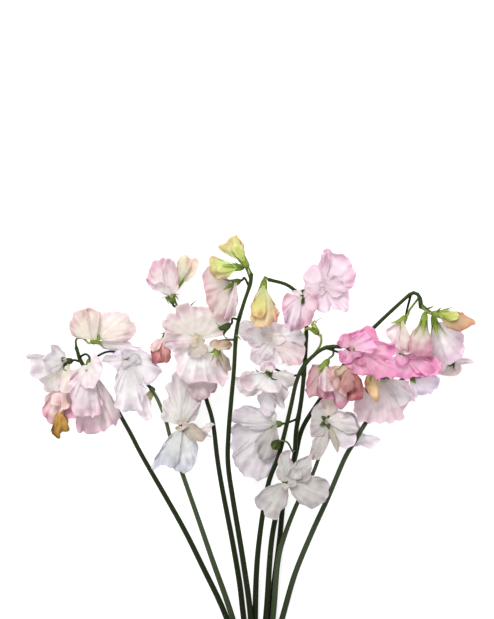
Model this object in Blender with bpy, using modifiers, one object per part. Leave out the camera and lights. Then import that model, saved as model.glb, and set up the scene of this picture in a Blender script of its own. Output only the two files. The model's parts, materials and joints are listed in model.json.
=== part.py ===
"""A bunch of nine cut sweet pea stems lying on a table, with its blossoms and buds.

The table is the plane z = 0. The stems' cut ends point to -Y and the blossoms to +Y.
The origin is on the table, below the middle of the bunch. Lengths in the tables are in
millimetres and angles in degrees; make_point and the builders turn them into metres and radians.
"""

from math import atan2, cos, pi, radians, sin

import bmesh
import bpy
from mathutils import Matrix, Vector

MM = 0.001

# ---- driving dimensions, millimetres ------------------------------------------------------------
STEM_RADIUS_CUT_END = 2.3
STEM_RADIUS_TIP = 1.3
STEM_SEGMENTS = 16
PEDICEL_RADIUS = 0.9
PEDICEL_SEGMENTS = 5
CALYX_LENGTH = 6.5
CALYX_FOOT_RADIUS = 1.2
CALYX_MOUTH_RADIUS = 3.1
MOUTH_RIM = 0.7            # width of the rim round the seat of the petals
SEPAL_REACH = 5.6          # radius of the sepal tips round the calyx mouth
SEPAL_SWEEP = 1.0          # how far behind the mouth the sepal tips lie
SEPALS = 5
SEAT_GAP = 0.35            # between a calyx mouth and what stands in it
PETAL_THICKNESS = 0.9
CLAW_HALF_WIDTH = 1.2
CLAW_OFFSET = 1.6          # how far off the middle of the mouth a spreading petal starts
CLAW_LENGTH = 4.0
EDGE_FALLOFF = 0.30        # how much shorter a petal is at its sides than along its midrib
PETAL_ROWS = (0.0, 0.14, 0.42, 0.72, 1.0)
PETAL_COLUMNS = 6
BUD_SIDES = 8
BUD_RINGS = 6
BUD_FLATTENING = 0.8       # buds and spent flowers are pressed flat from the sides
YOUNG_BUD_LENGTH = 8.5     # the youngest bud is still shut in its calyx
YOUNG_BUD_RADIUS = 3.8
YOUNG_BUD_STALK_RADIUS = 0.7

# ---- the nine stems: points from the cut end to the tip -----------------------------------------
# At the cut ends they lie in two rows, five on the table and four in the grooves above them.
STEMS = {
    "a": [(-5.2, -164, 2.35), (-19.5, -122, 4.5), (-35.5, -88, 7), (-52, -55, 9.5), (-81, -4, 13),
          (-92, 17, 15), (-109, 46, 18), (-126, 66, 21), (-131, 79, 23)],
    "b": [(-2.75, -164, 6.6), (-14.5, -122, 8), (-28.5, -82, 9), (-39.5, -50, 10), (-52, -14, 12),
          (-60, 10, 14), (-64, 25, 15), (-70, 40, 17), (-75, 48, 18)],
    "c": [(-0.3, -164, 2.35), (-5.3, -122, 3), (-8, -99, 5), (-13.5, -67, 8), (-21, -28, 11),
          (-24.7, -5, 13), (-28, 22, 15), (-33, 40, 17), (-39, 62, 19), (-45, 85, 18),
          (-50, 106, 16)],
    "d": [(2.15, -164, 6.6), (0.2, -122, 11), (-5.5, -80, 19), (-12.7, -36, 29), (-16.5, -8, 36),
          (-16, 16, 42), (-14, 40, 48), (-12, 62, 54), (-10, 92, 61), (-5, 111, 66),
          (0, 126, 70), (1, 134, 71)],
    "f": [(4.6, -164, 2.35), (4, -124, 6), (6, -76, 16), (13, -27, 28), (21, -4, 34), (26, 15, 39),
          (31, 37, 45), (34, 51, 49), (38, 62, 52), (45, 71, 55), (56, 79, 58), (68, 80, 60)],
    "i": [(7.05, -164, 6.6), (12.2, -124, 7.8), (16.5, -66, 12), (25, -28, 16), (33, -6, 18.5),
          (35, 17, 20), (39, 42, 22), (42, 78, 25), (42, 107, 28), (37, 118, 30), (28, 126, 32),
          (14, 130, 35)],
    "j": [(9.5, -164, 2.35), (15, -124, 2.9), (22, -71, 5), (26, -33, 8), (34, -5, 10.5),
          (39, 16, 12.5), (50, 35, 16), (82, 82, 32), (93, 94, 36), (112, 112, 40),
          (122, 120, 41), (127, 117, 42), (128, 109, 42)],
    "k": [(11.95, -164, 6.6), (17.6, -124, 8.2), (21, -85, 11), (26, -64, 14), (36, -38, 20),
          (46, -19, 27), (52, -3, 32), (56, 10, 35)],
    "l": [(14.4, -164, 2.35), (25.2, -124, 3.2), (34, -93, 7), (46.5, -62, 13), (59, -34, 20),
          (71, -5, 28), (79, 9, 33), (86, 21, 35), (101, 43, 30), (127, 64, 18), (146, 76, 12),
          (156, 80, 10), (161, 76, 9)],
}

# ---- the youngest bud, on a stalk of its own -----------------------------------------------------
YOUNG_BUD_STEM = "i"
YOUNG_BUD_BACK = 146                # how far back from the stem's tip its stalk leaves
YOUNG_BUD_ROUTE = [(32, 1, 31), (28, 8, 40), (22, 9.5, 43)]
YOUNG_BUD_FACING = (232, -15)

# ---- the calyxes ---------------------------------------------------------------------------------
# name: stem, how far back from the stem's tip its stalk leaves, the point in the middle of the
# calyx mouth, the way the mouth faces (heading in the table's plane, tilt up), and points that the
# stalk passes on its way.
CALYXES = {
    "a1": ("a", 12, (-140, 68, 20), (190, 0), []),
    "a2": ("a", 26, (-141, 50, 7.5), (262, 0), [(-131, 60, 12)]),
    "a3": ("a", 8, (-121, 64, 33), (268, 0), [(-124, 74, 27)]),
    "a4": ("a", 0, (-114, 85, 27), (20, -10), [(-131, 85, 24), (-126, 86, 26)]),
    "a5": ("a", 17, (-90, 67, 31), (300, 30), [(-117, 71, 24), (-106, 76, 26)]),
    "b1": ("b", 0, (-77, 41, 15), (235, -10), [(-78, 51, 18)]),
    "c1": ("c", 0, (-60, 118, 20), (108, 0), [(-54, 109, 17)]),
    "c2": ("c", 8, (-54, 128, 6.7), (62, 0), [(-56, 112, 9)]),
    "c3": ("c", 20, (-39, 83, 40), (270, 80), [(-45, 92, 26)]),
    "c4": ("c", 14, (-64, 85, 30), (255, 0), [(-55, 96, 24)]),
    "c5": ("c", 45, (-35, 63, 32), (270, 45), [(-36, 68, 22)]),
    "c6": ("c", 62, (-51, 19, 22), (300, 80), [(-42, 30, 15)]),
    "d1": ("d", 10, (-13, 127, 57), (200, -10), [(-4, 131, 64)]),
    "d2": ("d", 0, (-5, 144, 72), (124, 5), []),
    "d3": ("d", 5, (-11, 139, 68), (177, 8), []),
    "d4": ("d", 52, (-25, 76, 50), (250, -5), [(-18, 85, 55)]),
    "d5": ("d", 34, (-20, 93, 65), (215, 0), [(-8, 100, 67), (-13, 101, 67)]),
    "f1": ("f", 0, (79, 78, 63), (350, 12), []),
    "f2": ("f", 6, (55, 65, 50), (235, -10), [(62, 74, 55)]),
    "f3": ("f", 12, (74, 64, 60), (245, -8), [(68, 75, 62)]),
    "f4": ("f", 0, (91, 60, 51), (280, -5), [(79, 84, 55), (89, 76, 53)]),
    "f5": ("f", 32, (47, 94, 50), (130, 10), [(52, 80, 53), (53, 88, 51)]),
    "i1": ("i", 26, (56, 124, 37), (30, 75), [(46, 118, 27)]),
    "i2": ("i", 24, (38, 113, 42), (262, 0), [(40, 122, 36)]),
    "i3": ("i", 0, (10, 124, 35), (262, 0), []),
    "i4": ("i", 60, (16, 84, 19), (170, 80), [(32, 86, 17), (22, 84, 10)]),
    "i5": ("i", 88, (13, 58, 37), (235, 30), [(30, 58, 29)]),
    "i6": ("i", 122, (18, 21, 24), (185, 0), [(28, 22, 22)]),
    "j1": ("j", 0, (130, 99, 47), (262, -5), []),
    "j2": ("j", 3, (139, 97, 34), (285, -8), [(134, 107, 38)]),
    "j3": ("j", 3, (142, 104, 46), (354, 5), [(131, 107, 45)]),
    "j4": ("j", 8, (113, 98, 41), (228, 0), [(120, 108, 43)]),
    "j5": ("j", 16, (116, 72, 31), (275, 30), [(117, 103, 35), (115, 86, 29)]),
    "k1": ("k", 32, (28, -22, 44), (250, 80), [(42, -20, 33)]),
    "k2": ("k", 0, (58, 24, 41), (90, 80), []),
    "k3": ("k", 5, (64, 12, 29), (345, -5), []),
    "l1": ("l", 0, (152, 66, 8), (240, 0), [(160, 73, 8)]),
    "l2": ("l", 62, (101, 55, 42), (265, 30), [(104, 52, 33)]),
    "l3": ("l", 42, (123, 56, 26), (315, -20), [(117, 62, 26)]),
}

# ---- the petals ----------------------------------------------------------------------------------
# node: calyx, side of the mouth it leaves (mm along its own face), heading, tilt, roll, length,
# spread to each side, cup (turn of the sides towards its face), arch (turn of the midrib), colour.
PETALS = {
    "standard_a1": ("a1", 0.9, 198, 12, 20, 30, 72, 0.9, 0.4, "white"),
    "wings_a1": ("a1", -0.9, 222, -26, 0, 28, 38, 1.0, -0.2, "white"),
    "standard_a3": ("a3", 0.9, 266, 2, -12, 42, 34, 1.3, 0.2, "pink"),
    "wings_a3": ("a3", -0.9, 284, -14, 0, 44, 26, 1.1, 0.0, "pink"),
    "standard_a4": ("a4", 0.9, 36, 8, -15, 31, 80, -0.8, -0.4, "peach"),
    "standard_a5": ("a5", 0.9, 285, 12, 0, 30, 88, -0.5, -0.3, "white"),
    "wings_a5": ("a5", -0.9, 294, -7, 0, 43, 24, 1.1, 0.0, "white"),
    "standard_c1": ("c1", 0.0, 108, 5, 0, 27, 58, 1.5, 0.3, "pink"),
    "standard_c3": ("c3", 0.0, 90, 10, 0, 31, 92, 0.5, 0.4, "white"),
    "wings_c3": ("c3", 0.0, 273, 6, 0, 38, 50, 0.8, 0.1, "white"),
    "standard_c5": ("c5", 0.0, 265, 2, 0, 24, 80, 0.5, 0.1, "pink"),
    "standard_c6": ("c6", 0.0, 93, 3, 0, 40, 40, 0.7, 0.0, "white"),
    "wings_c6": ("c6", 0.0, 250, 0, 0, 33, 38, 0.9, 0.0, "white"),
    "keel_c6": ("c6", 0.0, 325, 5, 0, 17, 28, 1.2, 0.2, "beige"),
    "standard_d1": ("d1", 0.0, 228, -8, 15, 38, 56, 0.9, 0.2, "pink"),
    "standard_f1": ("f1", 0.9, 5, 10, 0, 33, 78, 0.7, 0.4, "vivid"),
    "wings_f1": ("f1", 1.9, 325, 30, 0, 26, 48, 0.8, 0.0, "vivid"),
    "standard_f2": ("f2", 0.9, 245, 0, 0, 28, 48, 1.0, 0.1, "white"),
    "wings_f2": ("f2", -0.9, 276, -5, 0, 27, 34, 0.8, 0.0, "pink"),
    "standard_i1": ("i1", 0.0, 72, 12, 0, 31, 78, 0.5, 0.4, "pink"),
    "wings_i1": ("i1", 0.0, 310, 16, 0, 24, 60, 0.7, 0.1, "pink"),
    "standard_i2": ("i2", 0.0, 262, 0, 0, 30, 38, 1.3, 0.1, "pink"),
    "standard_i4": ("i4", 0.0, 165, -4, 0, 27, 82, -0.5, -0.4, "white"),
    "wings_i4": ("i4", 0.0, 325, -6, 0, 23, 50, -0.5, -0.2, "pink"),
    "standard_i5": ("i5", -0.9, 232, -4, 0, 29, 88, -0.4, -0.4, "white"),
    "wings_i5": ("i5", 0.9, 240, 22, 0, 22, 42, 0.9, 0.0, "white"),
    "standard_i6": ("i6", 0.0, 192, -3, 0, 34, 84, -0.6, -0.4, "white"),
    "standard_j1": ("j1", 0.0, 259, -4, 0, 31, 38, -0.7, 0.0, "cream"),
    "standard_j2": ("j2", 0.0, 286, -12, 0, 36, 34, -1.0, 0.0, "pink"),
    "standard_j4": ("j4", 0.0, 232, -2, 0, 24, 34, -0.8, 0.0, "pink"),
    "standard_j5": ("j5", 0.0, 277, 30, 0, 23, 80, 0.3, -0.3, "pink"),
    "standard_k1": ("k1", 0.0, 72, 8, 0, 26, 50, 0.9, 0.0, "white"),
    "left_wing_k1": ("k1", 0.0, 205, -3, 0, 28, 30, 0.9, 0.0, "white"),
    "right_wing_k1": ("k1", 0.0, 347, 2, 0, 31, 28, 0.9, 0.0, "white"),
    "standard_k2": ("k2", 0.0, 85, 0, 0, 22, 45, 0.6, 0.0, "white"),
    "left_wing_k2": ("k2", 0.0, 250, 4, 0, 30, 28, 0.8, 0.0, "white"),
    "right_wing_k2": ("k2", 0.0, 347, 0, 0, 24, 34, 0.8, 0.0, "white"),
    "standard_k3": ("k3", 0.0, 345, -4, 0, 33, 18, 0.5, 0.0, "white"),
    "standard_l1": ("l1", 0.0, 262, -22, 0, 17, 80, 0.3, 0.0, "white"),
    "standard_l2": ("l2", 0.0, 265, -4, 0, 32, 60, 0.6, -0.3, "white"),
    "standard_l3": ("l3", 0.0, 315, -35, 0, 20, 45, 0.8, 0.0, "pink"),
}

# ---- buds and spent flowers ----------------------------------------------------------------------
# node: calyx, length, greatest radius, where that radius lies (0 mouth, 1 tip), colour.
BUDS = {
    "spent_a2": ("a2", 38, 9, 0.35, "coral"),
    "bud_c2": ("c2", 25, 8, 0.55, "peach"),
    "spent_c4": ("c4", 21, 6.5, 0.60, "crimson"),
    "bud_d2": ("d2", 24, 6, 0.55, "yellow"),
    "bud_d3": ("d3", 22, 6, 0.60, "yellow"),
    "spent_d4": ("d4", 15, 4, 0.50, "brown"),
    "spent_f3": ("f3", 26, 9, 0.50, "coral"),
    "bud_f4": ("f4", 19, 4.5, 0.50, "peach"),
    "bud_i3": ("i3", 31, 10, 0.70, "yellow"),
    "bud_j3": ("j3", 27, 6.5, 0.45, "peach"),
}

# name: red, green, blue, roughness
COLOURS = {
    "stem": (0.035, 0.075, 0.020, 0.45),
    "white": (0.86, 0.82, 0.86, 0.55),
    "pink": (0.86, 0.62, 0.76, 0.55),
    "vivid": (0.84, 0.32, 0.60, 0.55),
    "peach": (0.88, 0.62, 0.50, 0.55),
    "cream": (0.88, 0.80, 0.70, 0.55),
    "beige": (0.72, 0.60, 0.44, 0.60),
    "coral": (0.80, 0.38, 0.34, 0.60),
    "crimson": (0.42, 0.06, 0.09, 0.60),
    "yellow": (0.78, 0.74, 0.26, 0.50),
    "brown": (0.50, 0.38, 0.34, 0.65),
}


def start_empty():
    """Remove what the scene holds and make the two collections."""
    for obj in list(bpy.data.objects):
        bpy.data.objects.remove(obj, do_unlink=True)
    for name in ("sweet_pea_bunch", "cutters"):
        bpy.context.scene.collection.children.link(bpy.data.collections.new(name))


def make_materials():
    """One Principled material for each colour in the table."""
    for name, (red, green, blue, roughness) in COLOURS.items():
        material = bpy.data.materials.new(name)
        material.use_nodes = True
        shader = material.node_tree.nodes["Principled BSDF"]
        shader.inputs["Base Color"].default_value = (red, green, blue, 1.0)
        shader.inputs["Roughness"].default_value = roughness
        shader.inputs["Metallic"].default_value = 0.0


def add_object(name, data, colour, collection="sweet_pea_bunch"):
    """Link new data as a named object with its material."""
    obj = bpy.data.objects.new(name, data)
    bpy.data.collections[collection].objects.link(obj)
    if data.materials:
        data.materials.clear()
    data.materials.append(bpy.data.materials[colour])
    return obj


def make_point(values):
    """A point given in millimetres, in metres."""
    return Vector(values) * MM


def direction(heading, tilt):
    """The unit vector at a heading in the table's plane, tilted up from it."""
    h = radians(heading)
    t = radians(tilt)
    return Vector((cos(h) * cos(t), sin(h) * cos(t), sin(t)))


def smooth_path(points, count):
    """Evenly spaced points on the Catmull-Rom curve through the points."""
    ends = [2 * points[0] - points[1]] + points + [2 * points[-1] - points[-2]]
    fine = []
    for p0, p1, p2, p3 in zip(ends, ends[1:], ends[2:], ends[3:]):
        for step in range(12):
            t = step / 12
            fine.append(0.5 * (2 * p1 + (p2 - p0) * t + (2 * p0 - 5 * p1 + 4 * p2 - p3) * t ** 2
                               + (3 * p1 - p0 - 3 * p2 + p3) * t ** 3))
    fine.append(points[-1])
    travelled = [0.0]
    for before, after in zip(fine, fine[1:]):
        travelled.append(travelled[-1] + (after - before).length)
    return [point_along(fine, travelled, travelled[-1] * i / count) for i in range(count + 1)]


def point_along(path, travelled, distance):
    """The point at a distance from the start of a path."""
    for i in range(len(path) - 1):
        if travelled[i + 1] >= distance:
            span = travelled[i + 1] - travelled[i]
            share = (distance - travelled[i]) / span if span else 0.0
            return path[i].lerp(path[i + 1], share)
    return path[-1]


def point_back_from_tip(path, back):
    """The point on a stem's path that lies a distance back from its tip."""
    left = back
    for after, before in zip(reversed(path), reversed(path[:-1])):
        span = (after - before).length
        if span >= left:
            return after.lerp(before, left / span)
        left -= span
    return path[0]


def make_tube(name, path, start_radius, end_radius, roundness, collection):
    """A tapering green tube along a path, as a closed mesh."""
    curve = bpy.data.curves.new(name, "CURVE")
    curve.dimensions = "3D"
    curve.bevel_depth = start_radius
    curve.bevel_resolution = roundness
    curve.use_fill_caps = True
    spline = curve.splines.new("POLY")
    spline.points.add(len(path) - 1)
    for i, point in enumerate(path):
        share = i / (len(path) - 1)
        spline.points[i].co = (*point, 1.0)
        spline.points[i].radius = 1.0 + (end_radius / start_radius - 1.0) * share
    guide = bpy.data.objects.new(name + "_path", curve)
    bpy.context.scene.collection.objects.link(guide)
    bpy.context.view_layer.update()
    depsgraph = bpy.context.evaluated_depsgraph_get()
    mesh = bpy.data.meshes.new_from_object(guide.evaluated_get(depsgraph))
    mesh.name = name
    bpy.data.objects.remove(guide, do_unlink=True)
    work = bmesh.new()
    work.from_mesh(mesh)
    bmesh.ops.remove_doubles(work, verts=work.verts, dist=0.00001)
    bmesh.ops.recalc_face_normals(work, faces=work.faces)
    work.to_mesh(mesh)
    work.free()
    mesh.shade_smooth()
    return add_object(name, mesh, "stem", collection)


def make_calyx(name, mouth, facing):
    """A bell with a crown of pointed sepals, its mouth at the given point."""
    mesh = bpy.data.meshes.new(name)
    work = bmesh.new()
    bmesh.ops.create_cone(work, cap_ends=True, segments=2 * SEPALS,
                          radius1=CALYX_FOOT_RADIUS * MM, radius2=CALYX_MOUTH_RADIUS * MM,
                          depth=CALYX_LENGTH * MM)
    bmesh.ops.translate(work, verts=work.verts, vec=(0, 0, -CALYX_LENGTH * MM / 2))
    mouth_face = max(work.faces, key=lambda face: face.calc_center_median().z)
    bmesh.ops.inset_region(work, faces=[mouth_face], thickness=MOUTH_RIM * MM)
    seat = set(mouth_face.verts)
    for vert in work.verts:
        if vert in seat or vert.co.z < -CALYX_LENGTH * MM / 2:
            continue
        turn = round(atan2(vert.co.y, vert.co.x) / pi * SEPALS)
        reach = SEPAL_REACH if turn % 2 else CALYX_MOUTH_RADIUS
        vert.co = Vector((vert.co.x, vert.co.y, 0)).normalized() * reach * MM
        vert.co.z = -SEPAL_SWEEP * MM
    work.to_mesh(mesh)
    work.free()
    calyx = add_object(name, mesh, "stem", "cutters")
    calyx.location = mouth
    calyx.rotation_mode = "QUATERNION"
    calyx.rotation_quaternion = facing.to_track_quat("Z", "Y")
    return calyx


def join_to(body, tool):
    """Boolean union of a tool into a body; the tool stays as a hidden guide."""
    tool.hide_render = True
    tool.display_type = "WIRE"
    union = body.modifiers.new(tool.name, "BOOLEAN")
    union.operation = "UNION"
    union.object = tool


def make_stem(letter, points):
    """One stem with the stalks and calyxes that it carries."""
    path = smooth_path([make_point(p) for p in points], STEM_SEGMENTS)
    stem = make_tube("stem_" + letter, path, STEM_RADIUS_CUT_END * MM, STEM_RADIUS_TIP * MM,
                     2, "sweet_pea_bunch")
    for name, (owner, back, mouth, facing, via) in CALYXES.items():
        if owner != letter:
            continue
        centre = make_point(mouth)
        out = direction(*facing)
        foot = centre - out * CALYX_LENGTH * MM
        route = [point_back_from_tip(path, back * MM)] + [make_point(p) for p in via]
        route += [foot - out * 1.5 * MM, foot + out * 2.0 * MM]
        stalk = make_tube("stalk_" + name, smooth_path(route, PEDICEL_SEGMENTS),
                          PEDICEL_RADIUS * MM, PEDICEL_RADIUS * MM, 1, "cutters")
        join_to(stem, stalk)
        join_to(stem, make_calyx("calyx_" + name, centre, out))
    if letter == YOUNG_BUD_STEM:
        add_young_bud(stem, path)


def add_young_bud(stem, path):
    """The stalk and the shut, egg-shaped calyx of the youngest bud, joined into its stem."""
    route = [point_back_from_tip(path, YOUNG_BUD_BACK * MM)] + [make_point(p) for p in YOUNG_BUD_ROUTE]
    out = direction(*YOUNG_BUD_FACING)
    middle = route[-1] + out * YOUNG_BUD_LENGTH / 2 * MM
    stalk = make_tube("stalk_of_young_bud", smooth_path(route + [middle], 2 * PEDICEL_SEGMENTS),
                      YOUNG_BUD_STALK_RADIUS * MM, YOUNG_BUD_STALK_RADIUS * MM, 1, "cutters")
    join_to(stem, stalk)
    mesh = bpy.data.meshes.new("young_bud")
    work = bmesh.new()
    bmesh.ops.create_uvsphere(work, u_segments=BUD_SIDES, v_segments=BUD_RINGS, radius=1.0)
    bmesh.ops.scale(work, verts=work.verts,
                    vec=Vector((YOUNG_BUD_RADIUS, YOUNG_BUD_RADIUS, YOUNG_BUD_LENGTH / 2)) * MM)
    work.to_mesh(mesh)
    work.free()
    bud = add_object("young_bud", mesh, "stem", "cutters")
    bud.location = middle
    bud.rotation_mode = "QUATERNION"
    bud.rotation_quaternion = out.to_track_quat("Z", "Y")
    join_to(stem, bud)


def petal_frame(heading, tilt, roll):
    """The petal's own axes: across, along the midrib, and out of its face."""
    along = direction(heading, tilt)
    face = (Vector((0, 0, 1)) - along * along.z).normalized()
    across = along.cross(face)
    turn = Matrix.Rotation(radians(roll), 3, along)
    return turn @ across, along, turn @ face


def petal_shape(u, v, length, spread, cup, arch):
    """A point of the petal: u from -1 to 1 across it, v from 0 at the claw to 1 at the edge."""
    angle = u * radians(spread)
    reach = length * (1.0 - EDGE_FALLOFF * abs(u) ** 2.2) - CLAW_LENGTH
    radius = CLAW_HALF_WIDTH + (reach - CLAW_HALF_WIDTH) * v
    claw = CLAW_LENGTH * min(1.0, v / PETAL_ROWS[1])
    x = radius * sin(angle)
    y = claw + radius * cos(angle) * min(1.0, v / PETAL_ROWS[1])
    side_turn = cup / length
    rise = 0.0
    if side_turn:
        rise = (1.0 - cos(side_turn * x)) / side_turn
        x = sin(side_turn * x) / side_turn
    bend = arch / length
    if bend:
        turned = bend * y
        y = sin(turned) / bend - sin(turned) * rise
        rise = (1.0 - cos(turned)) / bend + cos(turned) * rise
    return x, y, rise


def make_petal(name, values):
    """A petal, or a pair of wings, as a cupped fan on a narrow claw."""
    calyx, side, heading, tilt, roll, length, spread, cup, arch, colour = values
    mouth, facing = CALYXES[calyx][2:4]
    out = direction(*facing)
    across, along, face = petal_frame(heading, tilt, roll)
    lift = SEAT_GAP + PETAL_THICKNESS / 2 * abs(face.dot(out)) - side * face.dot(out)
    lift += CLAW_HALF_WIDTH * abs(across.dot(out))
    aside = along - out * along.dot(out)
    start = make_point(mouth) + (out * lift + face * side + aside * CLAW_OFFSET) * MM
    mesh = bpy.data.meshes.new(name)
    work = bmesh.new()
    rows = len(PETAL_ROWS) - 1
    bmesh.ops.create_grid(work, x_segments=PETAL_COLUMNS, y_segments=rows, size=1.0)
    for vert in work.verts:
        row = round((vert.co.y + 1.0) / 2.0 * rows)
        x, y, rise = petal_shape(vert.co.x, PETAL_ROWS[row], length, spread, cup, arch)
        vert.co = start + (across * x + along * y + face * rise) * MM
    work.to_mesh(mesh)
    work.free()
    mesh.shade_smooth()
    petal = add_object(name, mesh, colour)
    shell = petal.modifiers.new("thickness", "SOLIDIFY")
    shell.thickness = PETAL_THICKNESS * MM
    shell.offset = 0.0


def make_bud(name, values):
    """A closed bud or a spent flower: a flattened drop that starts at its calyx mouth."""
    calyx, length, radius, widest, colour = values
    mouth, facing = CALYXES[calyx][2:4]
    out = direction(*facing)
    mesh = bpy.data.meshes.new(name)
    work = bmesh.new()
    bmesh.ops.create_uvsphere(work, u_segments=BUD_SIDES, v_segments=BUD_RINGS, radius=1.0)
    for vert in work.verts:
        share = (vert.co.z + 1.0) / 2.0
        bulge = share ** 0.7 if share < 0.5 else 1.0
        vert.co.x *= radius * bulge * MM
        vert.co.y *= radius * bulge * BUD_FLATTENING * MM
        skewed = share ** (0.5 / (1.0 - widest) if widest > 0.5 else 1.0)
        vert.co.z = (SEAT_GAP + length * skewed) * MM
    work.to_mesh(mesh)
    work.free()
    mesh.shade_smooth()
    bud = add_object(name, mesh, colour)
    bud.location = make_point(mouth)
    bud.rotation_mode = "QUATERNION"
    bud.rotation_quaternion = out.to_track_quat("Z", "Y")


def main():
    start_empty()
    make_materials()
    for letter, points in STEMS.items():
        make_stem(letter, points)
    for name, values in PETALS.items():
        make_petal(name, values)
    for name, values in BUDS.items():
        make_bud(name, values)


main()
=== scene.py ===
"""The looks of a bunch of nine cut sweet pea stems lying on a pale table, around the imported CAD.

The tables repeat part.py's routes: lengths in millimetres, angles in degrees, the table at z = 0.
Every petal is a sheet that fans out from a calyx mouth to a rim, with pleats, a frilled edge and
a curl; every stem is a tube with its stalks, calyx bells and curling sepals.
"""

import json
from math import cos, pi, radians, sin
from typing import NamedTuple

import bpy
import numpy as np
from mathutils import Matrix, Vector, noise


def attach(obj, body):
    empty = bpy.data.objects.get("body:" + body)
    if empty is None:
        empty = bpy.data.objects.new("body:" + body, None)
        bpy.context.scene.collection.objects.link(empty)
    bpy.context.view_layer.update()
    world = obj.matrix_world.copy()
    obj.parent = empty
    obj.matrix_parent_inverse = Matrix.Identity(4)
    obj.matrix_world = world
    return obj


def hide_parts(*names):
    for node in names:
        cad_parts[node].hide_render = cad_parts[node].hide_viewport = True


MM = 0.001
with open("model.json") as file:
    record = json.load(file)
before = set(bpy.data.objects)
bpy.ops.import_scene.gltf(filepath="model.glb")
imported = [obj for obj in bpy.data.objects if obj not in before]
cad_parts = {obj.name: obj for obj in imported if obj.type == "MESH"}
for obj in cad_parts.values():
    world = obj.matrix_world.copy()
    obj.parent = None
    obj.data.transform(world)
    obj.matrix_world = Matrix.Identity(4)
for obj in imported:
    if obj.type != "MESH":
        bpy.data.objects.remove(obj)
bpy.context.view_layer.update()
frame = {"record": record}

# ---- driving dimensions, millimetres -------------------------------------------------------------
STEM_RADIUS_CUT_END = 2.3
STEM_RADIUS_TIP = 1.25
STEM_TAPER = 1.3           # above 1, a stem thins mostly towards its tip
STEM_RIBS = (5, 0.05)      # their number, and their height as a share of the radius
NODE_SWELLING = 0.25       # how much thicker a stem is where a stalk leaves
NODE_REACH = 2.5           # how far along the stem that swelling reaches
STALK_RADIUS = 0.85
STALK_FLARE = 0.3          # share by which a stalk widens at both its ends
STALK_LEAD = 1.5           # how far before its calyx a stalk turns into the calyx's direction
STALK_OVERLAP = 1.0        # how far into the calyx it runs
CALYX_LENGTH = 6.5
CALYX_MOUTH_RADIUS = 2.9
CALYX_RIBS = (10, 0.035)
CALYX_GRAIN_RADIUS = 2.0   # the radius that its texture is laid out on
SEPALS = 5
SEPAL_WIDTH = 3.3
SEPAL_HALF_THICKNESS = 0.24
SEPAL_DEPTH = 0.9          # how deep below the calyx mouth a sepal starts
SEPAL_PLACE = 0.93         # how far from the calyx's axis, as a share of the mouth's radius
FREE_SEPAL_WIDTH = 2.4
PETAL_THICKNESS = 0.32
CLAW_HALF_WIDTH = 1.2
CLAW_DEPTH = 1.5           # how deep in the calyx mouth a petal starts
TABLE_CLEARANCE = 0.35     # how high the petals lie that meet the table
TABLE_LAYERS = 5           # they lie one over another in so many layers
LAYER_STEP = 0.25
TABLE_BEND = 1.6           # how sharply they turn to lie flat, per millimetre
SLANT = (0.31, 0.17, 0.93)  # a direction that no stem, stalk or calyx follows
FOOT_COLOUR_END = 0.45     # where along a stem or sepal the colour of its foot ends
TIP_COLOUR_START = 0.55    # and where the colour of its tip starts

# ---- steps along the surfaces and sides round them -----------------------------------------------
CURVE_STEPS = 12           # between two points of a smooth path, before it is spaced evenly
STEM_STEPS, STEM_SIDES = 96, 20
STALK_STEPS, STALK_SIDES = 20, 12
SEPAL_STEPS, SEPAL_SIDES = 12, 8
CALYX_SIDES = 30
YOUNG_BUD_STEPS, YOUNG_BUD_SIDES = 13, 20

# ---- the nine stems: points from the cut end to the tip, as in part.py ---------------------------
STEMS = {
    "a": [(-5.2, -164, 2.35), (-19.5, -122, 4.5), (-35.5, -88, 7), (-52, -55, 9.5), (-81, -4, 13),
          (-92, 17, 15), (-109, 46, 18), (-126, 66, 21), (-131, 79, 23)],
    "b": [(-2.75, -164, 6.6), (-14.5, -122, 8), (-28.5, -82, 9), (-39.5, -50, 10), (-52, -14, 12),
          (-60, 10, 14), (-64, 25, 15), (-70, 40, 17), (-75, 48, 18)],
    "c": [(-0.3, -164, 2.35), (-5.3, -122, 3), (-8, -99, 5), (-13.5, -67, 8), (-21, -28, 11),
          (-24.7, -5, 13), (-28, 22, 15), (-33, 40, 17), (-39, 62, 19), (-45, 85, 18),
          (-50, 106, 16)],
    "d": [(2.15, -164, 6.6), (0.2, -122, 11), (-5.5, -80, 19), (-12.7, -36, 29), (-16.5, -8, 36),
          (-16, 16, 42), (-14, 40, 48), (-12, 62, 54), (-10, 92, 61), (-5, 111, 66),
          (0, 126, 70), (1, 134, 71)],
    "f": [(4.6, -164, 2.35), (4, -124, 6), (6, -76, 16), (13, -27, 28), (21, -4, 34), (26, 15, 39),
          (31, 37, 45), (34, 51, 49), (38, 62, 52), (45, 71, 55), (56, 79, 58), (68, 80, 60)],
    "i": [(7.05, -164, 6.6), (12.2, -124, 7.8), (16.5, -66, 12), (25, -28, 16), (33, -6, 18.5),
          (35, 17, 20), (39, 42, 22), (42, 78, 25), (42, 107, 28), (37, 118, 30), (28, 126, 32),
          (14, 130, 35)],
    "j": [(9.5, -164, 2.35), (15, -124, 2.9), (22, -71, 5), (26, -33, 8), (34, -5, 10.5),
          (39, 16, 12.5), (50, 35, 16), (82, 82, 32), (93, 94, 36), (112, 112, 40),
          (122, 120, 41), (127, 117, 42), (128, 109, 42)],
    "k": [(11.95, -164, 6.6), (17.6, -124, 8.2), (21, -85, 11), (26, -64, 14), (36, -38, 20),
          (46, -19, 27), (52, -3, 32), (56, 10, 35)],
    "l": [(14.4, -164, 2.35), (25.2, -124, 3.2), (34, -93, 7), (46.5, -62, 13), (59, -34, 20),
          (71, -5, 28), (79, 9, 33), (86, 21, 35), (101, 43, 30), (127, 64, 18), (146, 76, 12),
          (156, 80, 10), (161, 76, 9)],
}

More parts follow.
